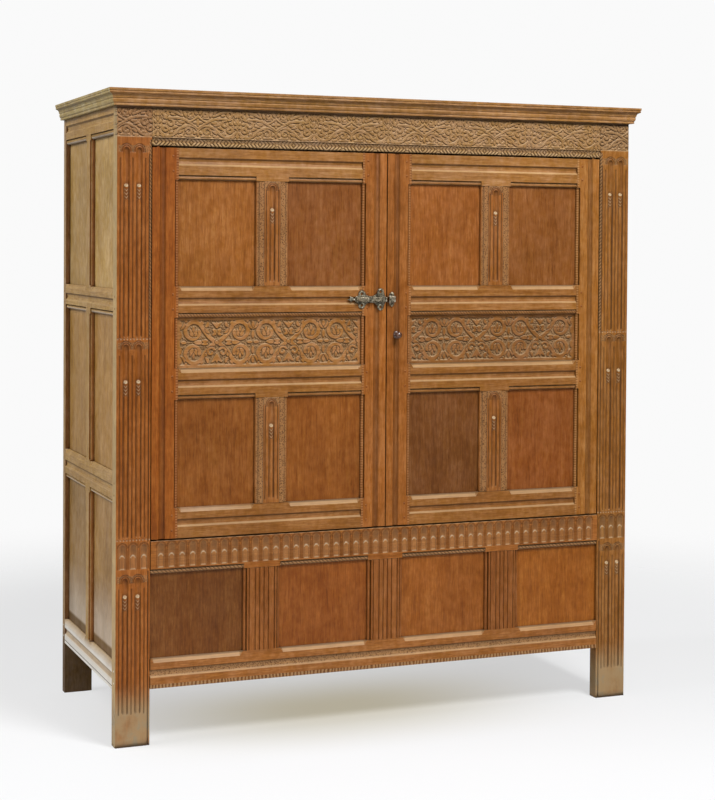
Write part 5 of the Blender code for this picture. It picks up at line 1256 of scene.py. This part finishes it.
def buildScrollPanel(side, way):
    c = scrollCarving
    node = f"{side}_door_carved_panel"
    low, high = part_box(node)
    left, right = low.x + c["tongue"], high.x - c["tongue"]
    foot, head = c["opening"]
    xs = steps((low.x, left, c["tongueStep"]), (left, right, c["step"]), (right, high.x, c["tongueStep"]))
    zs = steps((low.z, foot, c["tongueStep"]), (foot, head, c["step"]), (head, high.z, c["tongueStep"]))

    def carve(x, z):
        across = repeat(x[0], c["period"], way * c["knot"])
        field = repeatedField(c, scrollStrokes(), zs - c["middle"], across)
        edge = np.minimum(np.minimum(x - left, right - x), np.minimum(z - foot, head - z)) - c["border"]
        field = framed(field, edge)
        depth = raised(field, c["ground"], c["edge"])
        # painted shadow below each ribbon, painted shade round its outline, and a painted highlight on its upper edge
        under, over = reliefShade(depth, c["ground"])
        sunk = np.maximum(hill(field, *c["outline"]) * c["outlineShade"], under * c["underShadow"])
        ground = unit(depth / c["ground"])
        return depth, {"sunk": sunk, "dust": ground * c["dust"] * (1 - under), "worn": over * c["worn"],
                       "punched": ground * c["punched"]}

    carvedBoard(f"{side}ScrollPanel", f"{side}_door", node, "oakCarved", xs, zs,
                c["face"], c["face"] + c["thick"], carve)


muntinCarving = {"rows": {"lower": (0.6605, 0.9642), "upper": (1.2827, 1.5817)}, "half": 0.049, "headDrop": 0.012,
                 "stop": 0.0765, "groove": 0.019, "grooveHalf": 0.0018, "grooveDeep": 0.0026, "grooveShade": (1.4, 0.9),
                 "quirk": 0.025, "quirkHalf": 0.0016, "quirkDeep": 0.0022, "quirkShade": (1.0, 0.8), "margin": 0.0016,
                 "bead": 0.0385, "beadDeep": 0.0085, "beadSwell": 0.0052, "beadLine": 0.0012, "beadShade": 0.40,
                 "beadMatted": 0.0072, "beadPunched": 0.85, "crownDrop": 0.009, "crown": 0.0175, "step": 0.0012,
                 "gap": 0.0003, "footTall": 0.03, "headTall": 0.125, "rowSteps": (0.002, 0.02, 0.0015)}


def buildMuntin(side, level):
    c = muntinCarving
    low, high = c["rows"][level]
    node = f"{side}_door_{level}_muntin"
    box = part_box(node)
    middle = (box[0].x + box[1].x) / 2
    drop = c["headDrop"]

    def carve(x, z):
        u = x - middle
        size = np.abs(u)
        depth, sunk, bare = stoppedFlute(x, z, middle, low + drop, high - drop, high - c["stop"])
        line = vee(size - c["groove"], c["grooveHalf"], c["grooveDeep"])
        line = np.where(between(z, low + drop, high - 2 * drop), line, 0)
        depth, sunk = cutLine(depth, sunk, line, c["grooveDeep"], c["grooveShade"])
        strip = between(size, c["quirk"], c["bead"])
        depth = np.where(strip, np.maximum(depth, c["margin"]), depth)
        quirk = vee(size - c["quirk"], c["quirkHalf"], c["quirkDeep"])
        depth, sunk = cutLine(depth, sunk, quirk, c["quirkDeep"], c["quirkShade"])
        radius = (c["half"] - c["bead"]) / 2
        t = np.clip((size - c["bead"] - radius) / radius, -1, 1)
        depth = np.where(size > c["bead"], c["beadDeep"] - c["beadSwell"] * np.sqrt(1 - t * t), depth)
        # painted shade along the step where the bead meets the strip
        sunk = np.where(np.abs(size - c["bead"]) < c["beadLine"], c["beadShade"], sunk)
        crown = high - drop - c["crownDrop"]
        spandrel = (z > crown) & (np.hypot(u, z - crown) > c["crown"]) & (size < c["quirk"])
        onBead = between(size, c["bead"], c["bead"] + c["beadMatted"])
        punched = np.maximum(strip | spandrel, onBead * c["beadPunched"])
        return depth, {"sunk": sunk, "bare": bare, "punched": punched}

    half, bead, step = c["half"], c["bead"], c["step"]
    xs = middle + steps((-half, -bead, step), (-bead, bead, step), (bead, half, step))
    foot, head = low + c["footTall"], high - c["headTall"]
    footStep, middleStep, headStep = c["rowSteps"]
    zs = steps((low + c["gap"], foot, footStep), (foot, head, middleStep), (head, high - c["gap"], headStep))
    carvedBoard(f"{side}{level.title()}Muntin", f"{side}_door", node, "oakMuntin", xs, zs,
                boardFace["door"], boardFace["doorBack"], carve)


def joinedPiece(name, body, finish, tone, parts):
    # several closed shapes as one piece; a part is its points, its faces and how much painted shade and dirt each point
    # has
    points, faces, sunk = [], [], []
    for shape, corners, dirtAndShade in parts:
        faces += [tuple(len(points) + corner for corner in face) for face in corners]
        points += shape
        sunk += dirtAndShade
    mesh = bpy.data.meshes.new(name)
    mesh.from_pydata(points, [], faces)
    solid = bmesh.new()
    solid.from_mesh(mesh)
    bmesh.ops.recalc_face_normals(solid, faces=solid.faces)
    solid.to_mesh(mesh)
    solid.free()
    mesh.polygons.foreach_set("use_smooth", [True] * len(faces))
    addMask(mesh, "sunk", sunk)
    mesh.update()
    addPiece(name, mesh, body, finish, tone)


def axesAbout(axis):
    lead = Vector(axis).normalized()
    side = lead.orthogonal().normalized()
    return lead, side, lead.cross(side)


def turnsOf(count):
    return [2 * math.pi * step / count for step in range(count)]


def tubePart(rings, first, last, dirtAndShade=None):
    # a closed tube through rings of points, with a point at each end
    count = len(rings[0])
    points = [first] + [point for ring in rings for point in ring] + [last]
    faces = [(0, 1 + (k + 1) % count, 1 + k) for k in range(count)]
    for ring in range(len(rings) - 1):
        low = 1 + ring * count
        high = low + count
        faces += [(low + k, low + (k + 1) % count, high + (k + 1) % count, high + k) for k in range(count)]
    top = 1 + (len(rings) - 1) * count
    faces += [(top + k, top + (k + 1) % count, len(points) - 1) for k in range(count)]
    return [tuple(point) for point in points], faces, dirtAndShade or [0.0] * len(points)


def turnedPart(profile, middle, axis, count=14):
    # a round shape about an axis; the profile is (distance along it, radius) from end to end
    lead, side, other = axesAbout(axis)
    middle = Vector(middle)
    rings = [[middle + lead * along + (side * math.cos(turn) + other * math.sin(turn)) * radius
              for turn in turnsOf(count)] for along, radius in profile[1:-1]]
    return tubePart(rings, middle + lead * profile[0][0], middle + lead * profile[-1][0])


def ringPart(middle, axis, radius, thick, count=24, sides=8):
    lead, side, other = axesAbout(axis)
    points, faces = [], []
    for step, way in enumerate(turnsOf(count)):
        out = side * math.cos(way) + other * math.sin(way)
        here, ahead = step * sides, (step + 1) % count * sides
        for k, turn in enumerate(turnsOf(sides)):
            place = Vector(middle) + out * (radius + thick * math.cos(turn)) + lead * thick * math.sin(turn)
            points.append(tuple(place))
            faces.append((here + k, ahead + k, ahead + (k + 1) % sides, here + (k + 1) % sides))
    return points, faces, [0.0] * len(points)


# carved beads that read as twisted rope, over the long panels and along the sides' top rails
ropeTwist = {"radius": 0.0077, "cut": 0.17, "strands": 4, "lay": 0.0092, "sides": 16, "perLay": 5,
             "endShade": 0.5, "grooveShade": 0.75,
             "doorX": (0.6335, 0.078), "doorY": -0.3075, "doorZ": 1.2009,
             "sideX": 0.8025, "sideSpans": ((-0.2825, -0.0105), (0.0465, 0.3185)), "sideZ": 1.7132}


def ropePart(start, end, c=ropeTwist):
    start, end = Vector(start), Vector(end)
    length = (end - start).length
    lead, side, other = axesAbout(end - start)
    count = round(length / c["lay"] * c["perLay"])
    rings, dirtAndShade = [], [c["endShade"]]
    for step in range(count + 1):
        ring = []
        for turn in turnsOf(c["sides"]):
            phase = c["strands"] * turn - 2 * math.pi * length * step / count / c["lay"]
            groove = (0.5 - 0.5 * math.cos(phase)) ** 2
            radius = c["radius"] * (1 - c["cut"] * groove)
            out = side * math.cos(turn) + other * math.sin(turn)
            ring.append(start + lead * (length * step / count) + out * radius)
            # painted shade in the rope's grooves
            dirtAndShade.append(groove * c["grooveShade"])
        rings.append(ring)
    return tubePart(rings, start, end, dirtAndShade + [c["endShade"]])


def buildRopes():
    c = ropeTwist
    for side, way in sides:
        left, right = sorted(way * x for x in c["doorX"])
        rope = ropePart((left, c["doorY"], c["doorZ"]), (right, c["doorY"], c["doorZ"]))
        joinedPiece(f"{side}DoorRope", f"{side}_door", "oakRail", "door_lower_rail", [rope])
        ropes = [ropePart((way * c["sideX"], low, c["sideZ"]), (way * c["sideX"], high, c["sideZ"]))
                 for low, high in c["sideSpans"]]
        joinedPiece(f"{side}SideRope", "carcass", "oakSideFrame", "side_frame", ropes)


# oak pegs through the tenons, a little proud of the face and a little out of line
pegShape = {"radius": 0.0032, "proud": 0.0006, "foot": 0.004, "rise": 0.021, "sideRise": 0.8,
            "stiles": (0.650, 0.0615), "rails": (0.6178, 1.0082, 1.2387, 1.6261), "stray": 0.0011,
            "sideRows": (-0.301, 0.334), "sideRails": (0.194, 0.7188, 1.2375, 1.753), "sideStray": 0.0015,
            "sideFace": 0.812}


def buildPegs():
    c = pegShape
    radius, proud, foot = c["radius"], c["proud"], c["foot"]
    profile = [(-foot, 0), (-foot, radius), (proud * 0.4, radius), (proud, radius * 0.7), (proud * 1.3, 0)]
    for side, way in sides:
        places = [(way * x + c["stray"] * math.sin(97 * z), boardFace["door"], z + up * c["rise"])
                  for x in c["stiles"] for z in c["rails"] for up in (-1, 1)]
        pegs = [turnedPart(profile, place, outward) for place in places]
        joinedPiece(f"{side}DoorPegs", f"{side}_door", "oakStile", "pegs", pegs)
        places = [(way * c["sideFace"], y + c["sideStray"] * math.sin(61 * z), z + up * c["rise"] * c["sideRise"])
                  for y in c["sideRows"] for z in c["sideRails"] for up in (-1, 1)]
        pegs = [turnedPart(profile, place, (way, 0, 0)) for place in places]
        joinedPiece(f"{side}SidePegs", "carcass", "oakSideFrame", "pegs", pegs)


# the bolt plate's pierced lobes, nails and barbed point, and the ball ends of the keeper; places are from the plate's
# point, and profiles are (distance along the axis, share of the radius)
ironTrim = {"edge": -0.0055, "length": 0.118, "middle": 1.243, "face": -0.3197, "lobes": ((0.044, 0.0165), (0.1035, 0.0225)),
            "hole": 0.0040, "holeSides": 16, "holeDeep": 0.02, "rim": 0.0068, "rimThick": 0.0014,
            "nails": ((0.0205, 0.0), (0.060, 0.0092), (0.0855, 0.0088)), "nail": 0.0019, "nailSides": 10,
            "nailProfile": ((-0.002, 0), (-0.002, 1), (0.0004, 1), (0.0011, 0.6), (0.0013, 0)),
            "barb": ((0.0165, 0.0028), (0.0120, 0.0060), (0.0080, 0.0070), (0.0045, 0.0098)),
            "barbHalf": 0.0021, "barbTaper": 0.8, "barbFlat": 0.6, "barbSink": 0.0005, "barbSteps": 8, "barbSides": 8,
            "balls": (0.0155, 0.0172), "ball": 0.0046, "ballSides": 12,
            "ballProfile": ((-0.003, 0), (-0.003, 0.8), (0.0, 0.8), (0.0008, 1), (0.0025, 0.9), (0.0040, 0.5), (0.0045, 0))}


def barbPart(start, way):
    c = ironTrim
    spine = bow(*((start + along, c["middle"] + way * tall) for along, tall in c["barb"]), c["barbSteps"])
    rings = []
    for index, (x, z) in enumerate(spine):
        half = c["barbHalf"] * (1 - c["barbTaper"] * index / (len(spine) - 1))
        y = c["face"] + c["barbSink"]
        rings.append([Vector((x + half * math.cos(turn), y - half * c["barbFlat"] * math.sin(turn),
                              z + half * math.cos(turn) * c["barbFlat"])) for turn in turnsOf(c["barbSides"])])
    return tubePart(rings, *(sum(ring, Vector()) / len(ring) for ring in (rings[0], rings[-1])))


def pierce(node, body, spots):
    # round holes right through, cut by pins that don't show
    c = ironTrim
    pins = bmesh.new()
    for x, z in spots:
        place = Matrix.Translation((x, c["face"], z)) @ Matrix.Rotation(math.pi / 2, 4, "X")
        bmesh.ops.create_cone(pins, cap_ends=True, segments=c["holeSides"], radius1=c["hole"], radius2=c["hole"],
                              depth=c["holeDeep"], matrix=place)
    mesh = bpy.data.meshes.new("plateHoles")
    pins.to_mesh(mesh)
    pins.free()
    cutter = addObject("plateHoles", mesh)
    cutter.hide_render = True
    cutter.display_type = "WIRE"
    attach(cutter, body)
    plate = nodes[node]
    holes = plate.modifiers.new("holes", "BOOLEAN")
    holes.operation = "DIFFERENCE"
    holes.object = cutter
    plate.modifiers.move(len(plate.modifiers) - 1, 2)      # before the edges are eased


def buildIronTrim():
    c = ironTrim
    start = c["edge"] - c["length"]
    spots = [(start + along, c["middle"] + way * tall) for along, tall in c["lobes"] for way in (1, -1)]
    parts = [ringPart((x, c["face"], z), outward, c["rim"], c["rimThick"]) for x, z in spots]
    profile = [(along, c["nail"] * share) for along, share in c["nailProfile"]]
    parts += [turnedPart(profile, (start + along, c["face"], c["middle"] + way * tall), outward, c["nailSides"])
              for along, tall in c["nails"] for way in ((1, -1) if tall else (1,))]
    parts += [barbPart(start, way) for way in (1, -1)]     # two barbs curl back from the point
    joinedPiece("plateTrim", "left_door", "wroughtIron", "bolt_trim", parts)

    along, up = c["balls"]
    profile = [(depth, c["ball"] * share) for depth, share in c["ballProfile"]]
    balls = [turnedPart(profile, (along, c["face"], c["middle"] + way * up), outward, c["ballSides"])
             for way in (1, -1)]
    joinedPiece("keeperTrim", "right_door", "wroughtIron", "bolt_trim", balls)
    pierce("bolt_plate", "left_door", spots)


buildFrieze()
buildArcade()
for side, way in sides:
    buildPost(f"{side}Post", f"front_post_{side}", way)
for side, way in sides:
    buildScrollPanel(side, way)
    for level in muntinCarving["rows"]:
        buildMuntin(side, level)
print("carved boards made")
buildRopes()
buildPegs()
buildIronTrim()
print("ropes, pegs and iron trim made")

bpy.context.view_layer.update()
